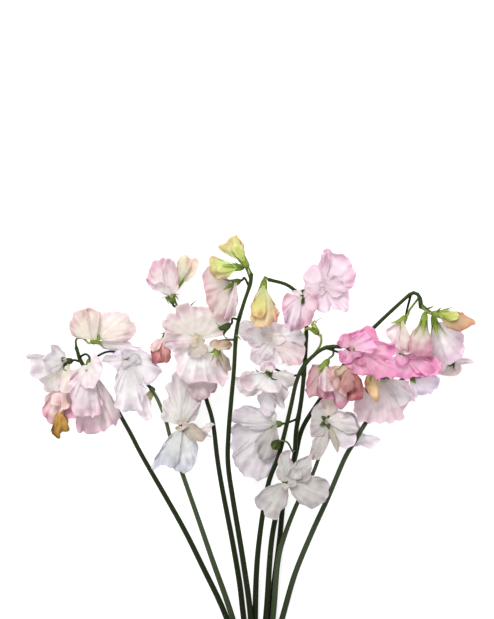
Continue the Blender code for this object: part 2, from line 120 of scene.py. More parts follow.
# ---- the calyxes, as in part.py, with the look of their sepals -----------------------------------
BENT_BACK = (4.0, 125, 20)  # sepals behind a flower that is seen from the front: length, splay, curl
# name: stem, how far back from the tip its stalk leaves, the middle of the mouth, the way the mouth
# faces (heading, tilt), points on the stalk's way, then sepal length, splay, curl and colours.
CALYXES = {
    "a1": ("a", 12, (-140, 68, 20), (190, 0), [], 8.0, 40, 150, "calyx_dark"),
    "a2": ("a", 26, (-141, 50, 7.5), (262, 0), [(-131, 60, 12)], 5.0, 30, 40, "calyx"),
    "a3": ("a", 8, (-121, 64, 33), (268, 0), [(-124, 74, 27)], 5.5, 30, 50, "calyx"),
    "a4": ("a", 0, (-114, 85, 27), (20, -10), [(-131, 85, 24), (-126, 86, 26)], 9.0, 75, 30,
           "calyx_bright"),
    "a5": ("a", 17, (-90, 67, 31), (300, 30), [(-117, 71, 24), (-106, 76, 26)], *BENT_BACK, "calyx"),
    "b1": ("b", 0, (-77, 41, 15), (235, -10), [(-78, 51, 18)], 6.0, 10, -30, "calyx_dry"),
    "c1": ("c", 0, (-60, 118, 20), (108, 0), [(-54, 109, 17)], 6.0, 75, 50, "calyx"),
    "c2": ("c", 8, (-54, 128, 6.7), (62, 0), [(-56, 112, 9)], 8.0, 10, -20, "calyx_bright"),
    "c3": ("c", 20, (-39, 83, 40), (270, 80), [(-45, 92, 26)], *BENT_BACK, "calyx_bright"),
    "c4": ("c", 14, (-64, 85, 30), (255, 0), [(-55, 96, 24)], 6.0, 35, 80, "calyx"),
    "c5": ("c", 45, (-35, 63, 32), (270, 45), [(-36, 68, 22)], 8.0, 65, 30, "calyx_bright"),
    "c6": ("c", 62, (-51, 19, 22), (300, 80), [(-42, 30, 15)], *BENT_BACK, "calyx_bright"),
    "d1": ("d", 10, (-13, 127, 57), (200, -10), [(-4, 131, 64)], 9.0, 30, 25, "calyx"),
    "d2": ("d", 0, (-5, 144, 72), (124, 5), [], 13.0, 14, -12, "calyx_bright"),
    "d3": ("d", 5, (-11, 139, 68), (177, 8), [], 12.0, 16, -15, "calyx_bright"),
    "d4": ("d", 52, (-25, 76, 50), (250, -5), [(-18, 85, 55)], 9.0, 45, 40, "calyx_bright"),
    "d5": ("d", 34, (-20, 93, 65), (215, 0), [(-8, 100, 67), (-13, 101, 67)], 7.5, 25, 110,
           "calyx_dark"),
    "f1": ("f", 0, (79, 78, 63), (350, 12), [], *BENT_BACK, "calyx"),
    "f2": ("f", 6, (55, 65, 50), (235, -10), [(62, 74, 55)], 7.0, 25, 40, "calyx_bright"),
    "f3": ("f", 12, (74, 64, 60), (245, -8), [(68, 75, 62)], 7.0, 30, 50, "calyx"),
    "f4": ("f", 0, (91, 60, 51), (280, -5), [(79, 84, 55), (89, 76, 53)], 7.0, 12, 10,
           "calyx_bright"),
    "f5": ("f", 32, (47, 94, 50), (130, 10), [(52, 80, 53), (53, 88, 51)], 10.0, 35, 120,
           "calyx_bright"),
    "i1": ("i", 26, (56, 124, 37), (30, 75), [(46, 118, 27)], *BENT_BACK, "calyx"),
    "i2": ("i", 24, (38, 113, 42), (262, 0), [(40, 122, 36)], 3.0, 15, 10, "calyx_dark"),
    "i3": ("i", 0, (10, 124, 35), (262, 0), [], 12.0, 28, -18, "calyx_bright"),
    "i4": ("i", 60, (16, 84, 19), (170, 80), [(32, 86, 17), (22, 84, 10)], *BENT_BACK, "calyx"),
    "i5": ("i", 88, (13, 58, 37), (235, 30), [(30, 58, 29)], 9.0, 60, 60, "calyx_dark"),
    "i6": ("i", 122, (18, 21, 24), (185, 0), [(28, 22, 22)], 5.0, 25, 30, "calyx"),
    "j1": ("j", 0, (130, 99, 47), (262, -5), [], 12.0, 12, 12, "calyx_bright"),
    "j2": ("j", 3, (139, 97, 34), (285, -8), [(134, 107, 38)], 12.0, 18, 15, "calyx_bright"),
    "j3": ("j", 3, (142, 104, 46), (354, 5), [(131, 107, 45)], 12.0, 30, -10, "calyx_bright"),
    "j4": ("j", 8, (113, 98, 41), (228, 0), [(120, 108, 43)], 8.0, 25, 25, "calyx_bright"),
    "j5": ("j", 16, (116, 72, 31), (275, 30), [(117, 103, 35), (115, 86, 29)], *BENT_BACK, "calyx"),
    "k1": ("k", 32, (28, -22, 44), (250, 80), [(42, -20, 33)], *BENT_BACK, "calyx_bright"),
    "k2": ("k", 0, (58, 24, 41), (90, 80), [], 4.5, 80, 60, "calyx_dark"),
    "k3": ("k", 5, (64, 12, 29), (345, -5), [], 5.0, 30, 30, "calyx"),
    "l1": ("l", 0, (152, 66, 8), (240, 0), [(160, 73, 8)], 5.5, 30, 60, "calyx_dark"),
    "l2": ("l", 62, (101, 55, 42), (265, 30), [(104, 52, 33)], *BENT_BACK, "calyx"),
    "l3": ("l", 42, (123, 56, 26), (315, -20), [(117, 62, 26)], 5.0, 30, 30, "calyx"),
}

# ---- the petals ----------------------------------------------------------------------------------
class Petal(NamedTuple):
    """One petal, with the usual shape where nothing else is said."""

    heading: float              # the way its midrib runs in the table's plane
    colours: str                # one of the palettes below
    headings: tuple             # the ways to the points of its rim
    reaches: tuple              # and how far out each of them is
    tilt: float = 0             # of the midrib, up from the table's plane
    at: tuple = (0, 0, 0)       # where it starts, from the calyx mouth
    cup: float = 0.5            # turn of the sides, up where positive
    curl: float = 0.0           # turn of the rim
    pleats: tuple = (2.5, 0.9)  # their number and height
    frill: tuple = (5, 0.9)     # the number and height of the waves along its rim
    crumple: float = 0.7


def throat(colours, reach, at):
    """The small crumpled keel that closes a flower's throat, as seen from the front."""
    turns = range(-170, 171, 20)
    reaches = [reach * (1 + 0.25 * cos(radians(3 * turn))) for turn in turns]
    return Petal(0, colours, turns, reaches, at=at, cup=0.3, pleats=(3, 0.8), frill=(6, 0.6),
                 crumple=1.0)


# CAD node, named after its calyx: its petals, in the order that gives each its own noise
PETALS = {
    "standard_a1": [
        Petal(205, "white", (166, 180, 190, 200, 209, 222, 235, 250, 262),
              (19, 27, 28.5, 29, 27, 24, 27, 25, 21), tilt=-8, cup=-0.5),
        Petal(140, "white_lilac", (95, 110, 122, 131, 139, 152, 168, 185, 205, 225),
              (7, 10, 14.5, 17, 13.5, 14.5, 17, 17, 15, 12), tilt=12, at=(0, 0, 3), cup=0.9, curl=0.5),
    ],
    "wings_a1": [
        Petal(185, "dusk", (164, 169, 172, 178, 188, 199, 206, 216),
              (22, 29, 30.5, 27, 26, 29, 28, 20), tilt=4, at=(0, 0, 1.5), cup=1.4, curl=0.7,
              frill=(3, 1.2)),
        Petal(250, "cream", (225, 238, 250, 262, 275, 288),
              (12, 17, 20, 22, 20, 14), tilt=4, at=(2, -2, 2), cup=-0.6),
    ],
    "standard_a3": [
        Petal(256, "pink", (205, 225, 242, 251, 258, 264, 270, 277, 284, 292),
              (15, 21, 29, 38, 41, 42, 40, 41, 37, 28), at=(0, 2, 1), cup=-0.7, pleats=(4.5, 1.8),
              frill=(8, 1.3)),
        Petal(300, "pink_pale", (215, 228, 240, 252, 262, 272, 285, 300, 320, 345, 370, 395, 420),
              (9, 13, 17, 19, 20, 19, 18.5, 15, 12.5, 11.5, 8.5, 8, 8), tilt=2, at=(0, 2, 5), cup=-0.8,
              pleats=(5, 1.2), frill=(5, 0.8)),
    ],
    "wings_a3": [
        Petal(278, "pink_dusk", (256, 258, 266, 273, 280, 285, 291, 297, 302, 304, 306),
              (40, 48.5, 51, 50, 50, 49, 48, 48.5, 44, 33, 20), tilt=-10, cup=-0.8, pleats=(3.5, 1.8),
              frill=(9, 1.2)),
    ],
    "standard_a4": [
        Petal(50, "blush_warm", (98, 88, 75, 60, 48, 38, 31, 22, 12, 4, -4),
              (18, 21, 22.5, 25, 29, 31, 29, 32, 30, 26, 21), tilt=6, cup=-0.7, frill=(5, 0.8)),
        Petal(-10, "white_lilac", (-40, -27, -20, -15, -9, -3, 6, 18),
              (7, 13, 22, 33, 34, 28, 22, 14), tilt=-8, at=(0, -2, -3), cup=-0.5, frill=(4, 0.9)),
        Petal(130, "peach_fold", (172, 162, 150, 138, 122, 108, 98, 91),
              (14, 17.5, 21, 24, 25.5, 24.5, 24, 19), tilt=12, at=(-2, 0, 2), cup=-0.9, curl=0.3),
        Petal(97, "cream_pink", (120, 110, 100, 90, 80, 70),
              (10, 19, 24.5, 24, 19, 9), tilt=14, at=(-1, 0, 3.5), cup=-1.2, pleats=(1, 0.4)),
    ],
    "standard_a5": [
        Petal(286, "white_lilac",
              (170, 177, 186, 198, 214, 232, 250, 270, 295, 312, 325, 338, 350, 368, 388, 405),
              (16, 20, 20.5, 16, 13.5, 16, 18, 19, 22, 24, 26, 25, 20, 16, 12, 11), tilt=6,
              at=(0, 3, 2), cup=-0.7, pleats=(4, 1.4), frill=(7, 1.2)),
        Petal(110, "lavender", (60, 80, 100, 125, 150, 172),
              (9, 8.5, 9, 10, 13, 17), tilt=-8, at=(0, 1, 1), cup=-0.4, frill=(3, 0.6)),
    ],
    "wings_a5": [
        Petal(272, "white_lilac", (228, 240, 248, 254, 260, 268, 276, 281, 286, 296, 310),
              (14, 22, 30, 35, 38.5, 38, 38.5, 40, 36, 26, 16), tilt=-2, at=(0, 2, 5), cup=-0.7,
              pleats=(3, 1.2)),
        Petal(287, "pink_in_painted_light", (277, 280, 284, 289, 293, 296, 299),
              (32, 41, 44, 45, 43, 36, 24), tilt=-7, at=(0, 0, 1), cup=-1.2, pleats=(1.5, 0.6)),
        throat("white_shade", 7.0, at=(0, 2, 6)),
    ],
    "standard_c1": [
        Petal(118, "pink_rose", (152, 141, 129, 120, 112, 104, 97, 90, 82),
              (20, 22.5, 26.5, 29.5, 30.5, 30.5, 30, 28, 23), at=(0, 0, -1), cup=-0.9,
              pleats=(1.5, 0.6), frill=(3, 0.6)),
        Petal(88, "lilac_pink", (112, 107, 99, 91, 85, 79, 72, 62, 48),
              (15, 22, 28, 29.5, 28, 23.5, 17.5, 12, 8), tilt=4, at=(0, 0, 3), cup=-1.3,
              pleats=(1, 0.5), frill=(2, 0.5)),
        Petal(146, "rose_lip", (164, 156, 150, 145, 136, 120, 100),
              (14, 20, 21.5, 18, 13, 9, 7), tilt=12, at=(0, 2, 4), cup=-1.0, curl=0.8, pleats=(1, 0.4)),
    ],
    "standard_c3": [
        Petal(95, "white_blush_warm", (174, 165, 152, 142, 133, 124, 112, 101, 88, 69, 51, 36, 24, 12),
              (23, 26, 29.5, 30, 27, 29, 30.5, 27, 25.5, 27, 28, 30, 25, 20), tilt=6, at=(0, 1, 0),
              pleats=(4, 1.3), frill=(7, 1.1)),
    ],
    "wings_c3": [
        Petal(262, "blush",
              (176, 184, 192, 205, 220, 235, 246, 255, 265, 275, 285, 293, 300, 308, 318, 330, 345),
              (23, 26, 22, 19.5, 22.5, 28, 31, 32.5, 31, 30.5, 30, 34, 38, 36, 30, 24, 18), tilt=3,
              at=(0, 0, 2), cup=-0.4, pleats=(4.5, 0.9), frill=(8, 1.2)),
        Petal(190, "lilac_pink", (165, 172, 178, 186, 198, 215),
              (18, 25, 26, 23, 17, 12), tilt=12, at=(1, 2, 4), cup=0.8, curl=0.6, frill=(3, 1.0)),
        Petal(255, "cream_white", (205, 225, 245, 262, 285, 310, 335),
              (7, 11, 13, 13, 12, 10, 7), tilt=14, at=(0, 1, 4), cup=0.8, frill=(4, 1.0)),
        throat("cream_glow", 4.8, at=(-1, 1, 5)),
    ],
    "standard_c5": [
        Petal(262, "mauve_pale", (212, 228, 240, 252, 262, 272, 285, 298, 315),
              (10, 17.5, 21.5, 24, 25, 24, 21, 18, 13), tilt=-4, cup=-0.8, pleats=(2.5, 1.0)),
        Petal(290, "mauve_pale", (270, 280, 292, 305, 320),
              (14, 19, 20, 17, 12), tilt=-8, at=(1, 0, -3), cup=-0.9),
    ],
    "standard_c6": [
        Petal(100, "white_grey", (168, 158, 145, 136, 128, 119, 110, 101, 91, 80, 70, 60, 51, 40, 22),
              (14, 17.5, 18, 20, 23.5, 24, 31, 38, 41, 39, 33, 28, 22, 16, 10), tilt=3, at=(0, 1, 0),
              pleats=(4, 1.6), frill=(7, 1.0)),
        Petal(78, "white_grey", (100, 92, 84, 76, 66, 56, 46),
              (12, 20, 27, 30, 28, 20, 12), tilt=6, at=(1, 2, 3), cup=0.9, pleats=(1.5, 0.8)),
    ],
    "wings_c6": [
        Petal(240, "white_blue", (214, 221, 226, 229, 231, 235, 240, 248, 256, 264),
              (9, 17, 24, 31, 37, 39, 35, 32, 32, 27), tilt=2, at=(0, 0, 3), cup=-0.7,
              pleats=(1.5, 0.8), frill=(3, 0.6)),
        Petal(275, "white_blue", (236, 246, 256, 265, 274, 282, 290, 299, 308, 320),
              (20, 28, 33.5, 34.5, 34.5, 32, 27, 22, 16, 9), at=(1, 0, 0), cup=-0.9, pleats=(1.5, 0.8),
              frill=(3, 0.5)),
    ],
    "keel_c6": [
        Petal(322, "beige", (288, 300, 310, 320, 329, 338, 348, 360, 375),
              (7, 12, 16, 19, 20, 19, 15, 11, 8), tilt=4, at=(0, 1, 1), cup=-1.5, pleats=(1, 0.3),
              frill=(2, 0.4)),
        throat("beige_pale", 4.0, at=(0, 1, 4)),
        Petal(10, "white_grey", (-55, -38, -22, -4, 14, 30, 45),
              (6, 10, 6, 7, 11, 10, 6), tilt=-4, at=(14, -2, 0), cup=0.8, curl=0.6, frill=(4, 1.0)),
    ],
    "standard_d1": [
        Petal(232, "pink_beige", (142, 148, 158, 170, 182, 198, 216, 232, 246, 257, 266, 276),
              (22, 24, 24, 24, 23, 23, 25, 28.5, 30.5, 30, 24, 16), tilt=-10, cup=-0.8, pleats=(3, 1.6),
              frill=(6, 1.2)),
        Petal(262, "lilac_pink", (280, 276, 271, 265, 258, 251),
              (8, 15, 20, 25, 28, 27), tilt=-6, at=(1, 0, 3), cup=-1.2, pleats=(1, 0.5),
              frill=(4, 1.0)),
    ],
    "standard_f1": [
        Petal(62, "vivid", (-26, -15, -5, 4, 10, 16, 22, 30, 40, 51, 64, 82, 112, 138, 156, 168),
              (22, 28, 30, 30.5, 29, 24, 19.5, 20, 21, 20, 16, 13, 12, 12.5, 14, 12), tilt=8,
              at=(0, 0, 1), pleats=(3, 0.9), frill=(7, 1.5), crumple=0.9),
        Petal(28, "vivid_light", (-12, 2, 16, 30, 46, 62, 80),
              (17, 21, 19, 18, 18, 14, 9), tilt=24, at=(-4, 0, 2), cup=1.2, curl=0.7, pleats=(1.5, 0.4),
              frill=(4, 1.4)),
    ],
    "wings_f1": [
        Petal(290, "vivid", (180, 198, 220, 245, 262, 275, 290, 303, 312, 318, 325, 332, 340),
              (12, 12, 12, 12.5, 15, 18, 20, 22.5, 26, 31, 36, 35, 29), tilt=5, at=(0, -1, 0), cup=1.0,
              curl=0.9, pleats=(2, 0.6), frill=(5, 1.6)),
        Petal(250, "vivid_deep", (196, 215, 232, 250, 268, 285, 300),
              (9, 11, 12, 12, 12, 14, 15), tilt=22, at=(1, 2, -3), cup=1.5, curl=0.4, frill=(4, 1.0)),
        throat("vivid", 10.0, at=(-3, 0, 4)),
    ],
    "standard_f2": [
        Petal(232, "blush_rose", (178, 195, 209, 219, 229, 239, 247, 256, 266, 274),
              (9, 12, 15, 19, 22.5, 26, 27, 24.5, 25, 22), cup=-0.7, pleats=(3, 1.4), frill=(6, 1.2)),
    ],
    "wings_f2": [
        Petal(286, "rose_wine", (250, 258, 268, 278, 286, 290, 297, 303, 312, 325, 342),
              (18, 23, 25, 26, 28, 33, 35, 31, 25, 19, 13), tilt=-4, cup=-0.6, pleats=(3.5, 1.5),
              frill=(7, 1.6)),
        Petal(265, "lilac_pink", (235, 250, 264, 278, 292, 308),
              (10, 15, 18, 19, 17, 12), tilt=8, at=(1, -1, 3), cup=-1.2, pleats=(2, 0.9),
              frill=(4, 1.2)),
    ],
    "standard_i1": [
        Petal(80, "pink_veil",
              (200, 190, 178, 165, 151, 140, 125, 111, 100, 96, 92, 85, 73, 61, 50, 38, 27, 16, 5, -6),
              (13, 14.5, 15, 15, 17.5, 18.5, 19, 18.5, 17.5, 24, 28.5, 29, 27.5, 28.5, 27.5, 26.5, 26,
              24.5, 21.5, 18), tilt=7, cup=0.3, pleats=(3.5, 0.9), frill=(7, 1.0)),
        Petal(86, "pink_veil", (104, 98, 92, 84, 76),
              (14, 21, 26, 26, 19), tilt=12, at=(0, 0, 1.5), cup=-1.5, pleats=(1, 0.5)),
    ],
    "wings_i1": [
        Petal(-52, "pink_even", (0, -15, -30, -41, -48, -60, -71, -80, -92, -105, -120, -140),
              (17, 18.5, 21.5, 24, 23, 17.5, 13.5, 17, 18, 15.5, 12, 9), tilt=4, at=(0, 0, 2), cup=-0.4,
              pleats=(3, 0.9), frill=(7, 1.1)),
        Petal(10, "pink_even", (-50, -30, -8, 12, 35, 60, 90),
              (9, 14, 16, 15, 13, 11, 8), tilt=18, at=(0, 0, 3), cup=0.7, curl=0.4, frill=(5, 1.1)),
        Petal(200, "pink_even", (150, 170, 188, 205, 225),
              (7, 13, 16, 14, 9), at=(0, 0, 3), cup=-0.8, frill=(3, 0.8)),
        throat("pink_even", 5.0, at=(0, 0, 4)),
    ],
    "standard_i2": [
        Petal(268, "pink_streak",
              (165, 182, 200, 215, 228, 240, 250, 260, 272, 284, 298, 315, 335, 355, 375),
              (11, 13, 15, 17.5, 20, 23.5, 26, 26, 24.5, 22, 18.5, 15.5, 13.5, 12, 11), tilt=2,
              at=(0, 3, 1), cup=-0.9, pleats=(6, 0.8), frill=(9, 1.0)),
        Petal(243, "lilac_deep", (224, 233, 241, 249, 257, 266),
              (14, 20, 25, 27.5, 27, 21), tilt=6, at=(0, 3, 3), cup=-0.9, frill=(4, 1.5)),
        Petal(90, "lilac_pink", (25, 45, 70, 95, 120, 145),
              (8, 7, 6.5, 6.5, 8, 10), tilt=-6, at=(0, 1, 2), cup=-0.6, frill=(3, 0.6)),
    ],
    "standard_i4": [
        Petal(90, "pink_in_painted_light", (186, 176, 165, 152, 140, 122, 92, 62, 42, 26, 10, -5, -14),
              (15, 22, 25.5, 27, 23, 17, 14, 15, 19, 23, 25, 26, 24), at=(0, 0, 4), cup=0.15,
              pleats=(4, 1.6), frill=(8, 1.5)),
        Petal(170, "pink_in_painted_light", (118, 135, 152, 168, 184, 205),
              (10, 17, 21, 21, 18, 13), tilt=6, at=(0, 0, 7), cup=-0.9, pleats=(2, 1.0),
              frill=(4, 1.0)),
    ],
    "wings_i4": [
        Petal(265, "pink_in_painted_light", (190, 208, 222, 236, 250, 265, 282, 297, 311, 322, 333, 345),
              (14, 17.5, 21.5, 21, 20, 19, 18, 19.5, 24, 28.5, 29, 25), tilt=-2, at=(0, 0, 4), cup=-0.4,
              pleats=(4, 1.5), frill=(7, 1.4)),
        Petal(330, "lilac_pink", (300, 311, 321, 332, 344, 358),
              (16, 22, 26, 27, 24, 17), tilt=10, at=(0, 0, 6), cup=0.8, curl=0.5, pleats=(2, 1.0),
              frill=(4, 1.4)),
        Petal(240, "pink_in_painted_light", (205, 220, 238, 256, 275),
              (9, 14, 16, 15, 11), tilt=10, at=(0, 0, 6), cup=1.2, curl=0.5, frill=(3, 1.0)),
        throat("white_pink", 8.5, at=(0, 1, 8)),
    ],
    "standard_i5": [
        Petal(200, "white", (172, 180, 190, 200, 212, 225, 240, 252),
              (17, 23, 26, 26, 25, 22.5, 20, 15), tilt=-2, at=(0, 0, 1), cup=0.3, pleats=(2.5, 1.2),
              frill=(5, 1.5)),
        Petal(262, "white_lilac", (240, 250, 257, 263, 270, 277, 283, 290),
              (15, 22, 27, 30, 31.5, 30.5, 26, 18), tilt=-10, at=(0, 0, -2), cup=-0.8,
              pleats=(2.5, 1.2)),
        Petal(325, "white_grey", (268, 282, 290, 299, 314, 330, 345, 358, 374),
              (12, 21, 27, 25, 20, 18.5, 20, 19, 14), tilt=-4, cup=0.2, pleats=(3, 1.4),
              frill=(6, 1.4)),
    ],
    "wings_i5": [
        Petal(220, "blush", (168, 182, 196, 210, 226, 245, 268, 292, 310, 328),
              (12, 19, 22, 20, 15, 13, 13, 15, 15, 12), tilt=14, at=(0, 0, 1), cup=0.9, curl=0.8,
              pleats=(3, 1.0), frill=(6, 1.3)),
        Petal(95, "pink_pale", (35, 60, 85, 110, 135, 155),
              (7, 9, 10, 10, 9, 7), tilt=18, at=(0, 0, 1), cup=1.0, curl=0.5, frill=(4, 0.9)),
    ],
    "standard_i6": [
        Petal(218, "white_shade",
              (176, 182, 190, 198, 207, 217, 226, 234, 242, 250, 258, 265, 271, 280),
              (28, 33, 34.5, 35.5, 37.5, 41, 44, 45, 45, 44, 41, 35, 27, 17), tilt=-5, cup=-0.5,
              pleats=(5.5, 1.1), frill=(8, 1.0)),
        Petal(150, "white_shade", (85, 98, 112, 130, 143, 152, 158, 163, 167, 171, 175, 181, 190, 205),
              (8, 10, 12, 16, 23, 29, 32, 33, 33.5, 35, 34, 27, 20, 13), tilt=5, at=(0, 0, 3), cup=-0.6,
              pleats=(4, 0.9)),
        Petal(255, "white_in_painted_shade", (215, 228, 242, 256, 268, 282),
              (16, 24, 28, 28, 24, 15), tilt=-2, at=(0, 0, 3), cup=-0.9, pleats=(3, 1.2),
              frill=(4, 1.0)),
    ],
    "standard_j1": [
        Petal(264, "cream_streak", (225, 234, 242, 250, 258, 266, 274, 281, 286, 291),
              (12, 18, 23.5, 26, 27.5, 28.5, 29, 28.5, 23, 14), tilt=-5, cup=-0.8, pleats=(5, 1.0),
              frill=(6, 0.9)),
    ],
    "standard_j2": [
        Petal(298, "lavender_pink", (256, 262, 269, 276, 284, 292, 301, 310, 319, 329, 339, 348, 358),
              (20, 32, 37, 37, 35, 34, 34, 32, 31, 27, 24, 20, 15), tilt=-12, cup=-0.7,
              pleats=(3.5, 1.5), frill=(7, 1.6)),
        Petal(275, "pink", (258, 264, 271, 278, 285),
              (25, 34, 38, 37, 32), tilt=-9, at=(0, 0, 1), cup=-1.0, pleats=(1.5, 0.7)),
    ],
    "standard_j4": [
        Petal(248, "pink_pale", (203, 212, 223, 235, 248, 258, 268, 278, 288, 297),
              (9, 13.5, 16, 17, 19.5, 22.5, 24.5, 25, 25, 20), tilt=-4, cup=-0.8, pleats=(2.5, 1.2),
              frill=(5, 1.0)),
        Petal(278, "peach_fold", (258, 268, 278, 288, 298),
              (14, 20, 22, 21, 14), tilt=4, at=(0, 0, 3), cup=-1.2, pleats=(1, 0.6)),
    ],
    "standard_j5": [
        Petal(282, "vivid_light",
              (196, 206, 216, 227, 241, 258, 275, 290, 304, 318, 330, 341, 351, 362),
              (17, 20, 22, 23, 21, 18.5, 18.5, 19, 21.5, 25, 29, 28.5, 25, 18), tilt=14, at=(0, 1, -2),
              cup=0.6, curl=0.5, pleats=(4, 1.0), frill=(6, 1.0)),
        Petal(330, "vivid_light", (296, 308, 320, 331, 343, 358),
              (13, 18, 23, 25, 22, 15), tilt=18, at=(0, 1, -1), cup=1.2, curl=0.7, pleats=(3, 1.2),
              frill=(5, 1.4)),
        Petal(110, "pink_pale", (40, 65, 90, 120, 150, 178),
              (9, 8, 7, 7, 9, 13), tilt=16, at=(0, 0, -1), cup=0.6, frill=(4, 1.0)),
        throat("vivid_light", 8.0, at=(0, 1, 4)),
    ],
    "standard_k1": [
        Petal(82, "white_blush",
              (165, 150, 136, 122, 111, 103, 96, 89, 83, 76, 68, 63, 59.5, 55, 50, 45, 38, 28, 14, 2),
              (7, 9, 11, 13, 17, 22, 24, 22.5, 18.5, 15, 15.5, 18, 24, 27.5, 28.5, 27, 23, 20.5, 18,
              13), tilt=4, cup=0.4, pleats=(3.5, 1.3), frill=(5, 1.0)),
        Petal(48, "white_grey", (95, 80, 64, 48, 32, 16),
              (7, 11, 13, 13, 12, 10), tilt=22, at=(0, 0, 1), cup=1.3, curl=0.6, frill=(4, 1.0)),
        throat("cream_in_painted_shade", 5.5, at=(0, 0, 4)),
    ],
    "left_wing_k1": [
        Petal(222, "white_in_painted_shade", (186, 192, 198, 204, 211, 219, 229, 237, 244, 251, 256, 260, 266, 274),
              (8, 13, 19, 25, 28.5, 30, 29, 30, 30.5, 29, 25, 21, 17, 11), tilt=-2, cup=-0.6,
              pleats=(2, 1.1), frill=(3, 0.7)),
    ],
    "right_wing_k1": [
        Petal(-18, "white_in_painted_shade", (-70, -60, -49, -38, -27, -16, -6, 4, 11, 18, 28),
              (9, 19, 25, 29, 31, 32.5, 31.5, 28.5, 24, 17, 10), tilt=2, cup=-0.6, pleats=(2, 1.0),
              frill=(3, 0.7)),
    ],
    "standard_k2": [
        Petal(85, "beige_pale", (48, 60, 75, 90, 104, 118),
              (12, 15, 17, 18, 17, 13), tilt=4, pleats=(2.5, 1.0), frill=(5, 1.0)),
        Petal(168, "white_blush", (96, 110, 125, 140, 160, 180, 200, 216, 228, 240, 256),
              (10, 14.5, 15, 13.5, 12.5, 12.5, 13.5, 15.5, 16.5, 13.5, 10), tilt=2, at=(0, 0, -1),
              cup=0.4, pleats=(3, 1.0)),
    ],
    "left_wing_k2": [
        Petal(255, "cream_in_painted_shade", (228, 236, 241, 246, 251, 257, 263, 269, 277),
              (11, 19, 26, 30.5, 30.5, 29, 26, 20, 14), tilt=3, cup=-0.7, pleats=(1.5, 0.8),
              frill=(3, 0.7)),
        Petal(285, "beige", (272, 279, 284, 289, 294, 300),
              (11, 18, 23, 23, 17, 11), tilt=7, at=(1, 0, 1), cup=-1.6, pleats=(1, 0.3),
              frill=(2, 0.3)),
    ],
    "right_wing_k2": [
        Petal(8, "white_grey", (60, 47, 35, 22, 8, -4, -15, -24, -34),
              (8, 11, 13, 16, 19, 21.5, 23.5, 22, 14), tilt=5, at=(0, 0, 2), cup=-0.6, pleats=(2, 1.0),
              frill=(5, 1.0)),
        Petal(-48, "white_lilac", (-18, -26, -34, -43, -54, -63, -71, -80),
              (15, 22.5, 25.5, 26, 25, 22, 17.5, 11), at=(0, 0, -1), cup=-0.6, pleats=(2, 0.9),
              frill=(4, 0.8)),
    ],
    "standard_k3": [
        Petal(-6, "white_lilac", (9, 6, 2, -3, -9, -15, -20, -26),
              (15, 22, 29, 33.5, 34.5, 31, 23, 14), tilt=-4, frill=(4, 0.7)),
        Petal(42, "white_grey", (75, 60, 48, 36, 22, 8, -4),
              (11, 19, 23, 22, 21, 20, 16), tilt=2, at=(0, 1, -2), cup=0.8, pleats=(3, 1.2),
              frill=(8, 1.6)),
    ],
    "standard_l1": [
        Petal(258, "white_beige", (188, 202, 216, 232, 250, 270, 290, 310, 328, 345),
              (8, 10, 12, 12.5, 11.5, 11, 11, 10.5, 9.5, 7), tilt=-8, at=(0, 1, 0), cup=-0.5,
              pleats=(2, 0.7), frill=(5, 0.7)),
        Petal(4, "pink_pale", (-14, -4, 0, 6, 12, 24),
              (6, 13, 16.5, 16, 14, 8), tilt=4, at=(0, 0, 1), cup=-1.2, pleats=(1, 0.3),
              frill=(2, 0.3)),
    ],
    "standard_l2": [
        Petal(264, "pink_shade", (196, 205, 214, 222, 230, 238, 246, 255, 264, 270, 277, 286, 294, 299,
              306, 314, 323, 331, 341, 353),
              (10, 18, 25, 30, 34, 37.5, 37, 34.5, 33.5, 32.5, 32.5, 33.5, 35, 31, 26.5, 26, 28, 25,
              20.5, 19), tilt=-3, cup=-0.5, pleats=(5.5, 1.5), frill=(8, 0.9)),
        Petal(312, "white_lilac", (288, 297, 306, 316, 326, 338),
              (14, 21, 24, 25, 23, 17), tilt=3, at=(0, 0, 1), cup=0.7, curl=0.5, frill=(5, 1.3)),
    ],
    "standard_l3": [
        Petal(316, "lavender", (258, 268, 278, 291, 305, 318, 330, 342, 354, 364, 375),
              (9, 14, 16, 15, 17, 19, 19.5, 21, 20.5, 18, 11), tilt=-14, pleats=(3, 1.2),
              frill=(7, 1.3)),
    ],
    "spent_a2": [
        Petal(248, "coral_dusk", (206, 214, 225, 238, 250, 258, 266, 274),
              (8, 14, 23, 28.5, 32, 30, 26, 22), cup=-1.0, pleats=(2.5, 1.3), crumple=1.2),
        Petal(284, "rose_wine", (262, 271, 281, 291, 301, 312),
              (20, 26, 27, 27, 22, 13), at=(0, 0, 1), cup=-1.0, pleats=(2, 1.2), crumple=1.2),
        Petal(256, "coral_light", (222, 232, 241, 250, 257, 264, 271, 279, 290),
              (9, 15, 18, 17, 18, 21, 20, 19, 12), tilt=12, at=(0, 0, 4), cup=-1.2, pleats=(2.5, 1.3),
              frill=(4, 1.2)),
        Petal(268, "gold_brown",
              (232, 240, 245, 249, 254, 259, 262, 266, 269, 276, 284, 291, 295, 300, 308),
              (6, 11, 16.5, 18, 17, 18, 22, 22, 18, 17, 17.5, 18, 16, 10, 6), at=(-3, -19.5, 5),
              cup=-0.9, pleats=(3, 1.6), frill=(6, 1.2), crumple=1.6),
    ],
    "bud_c2": [
        Petal(72, "peach", (100, 93, 86, 81, 75, 68, 60, 50),
              (8, 14, 20, 23, 23, 22, 20, 12), tilt=6, at=(0, 0, 3), cup=-1.6, pleats=(1.5, 0.5),
              frill=(3, 0.5)),
        Petal(50, "peach_pale", (80, 68, 58, 49, 41, 31, 18),
              (15, 21, 23, 23.5, 20, 14, 8), tilt=2, cup=-1.4, pleats=(1, 0.4), frill=(3, 0.7)),
        Petal(66, "peach_pale", (100, 88, 74, 58, 42, 24),
              (8, 18, 21, 20, 17, 9), tilt=-8, at=(0, 0, -1), cup=1.8, pleats=(1, 0.4)),
    ],
    "spent_c4": [
        Petal(248, "crimson", (205, 218, 229, 238, 247, 257, 266, 276, 290),
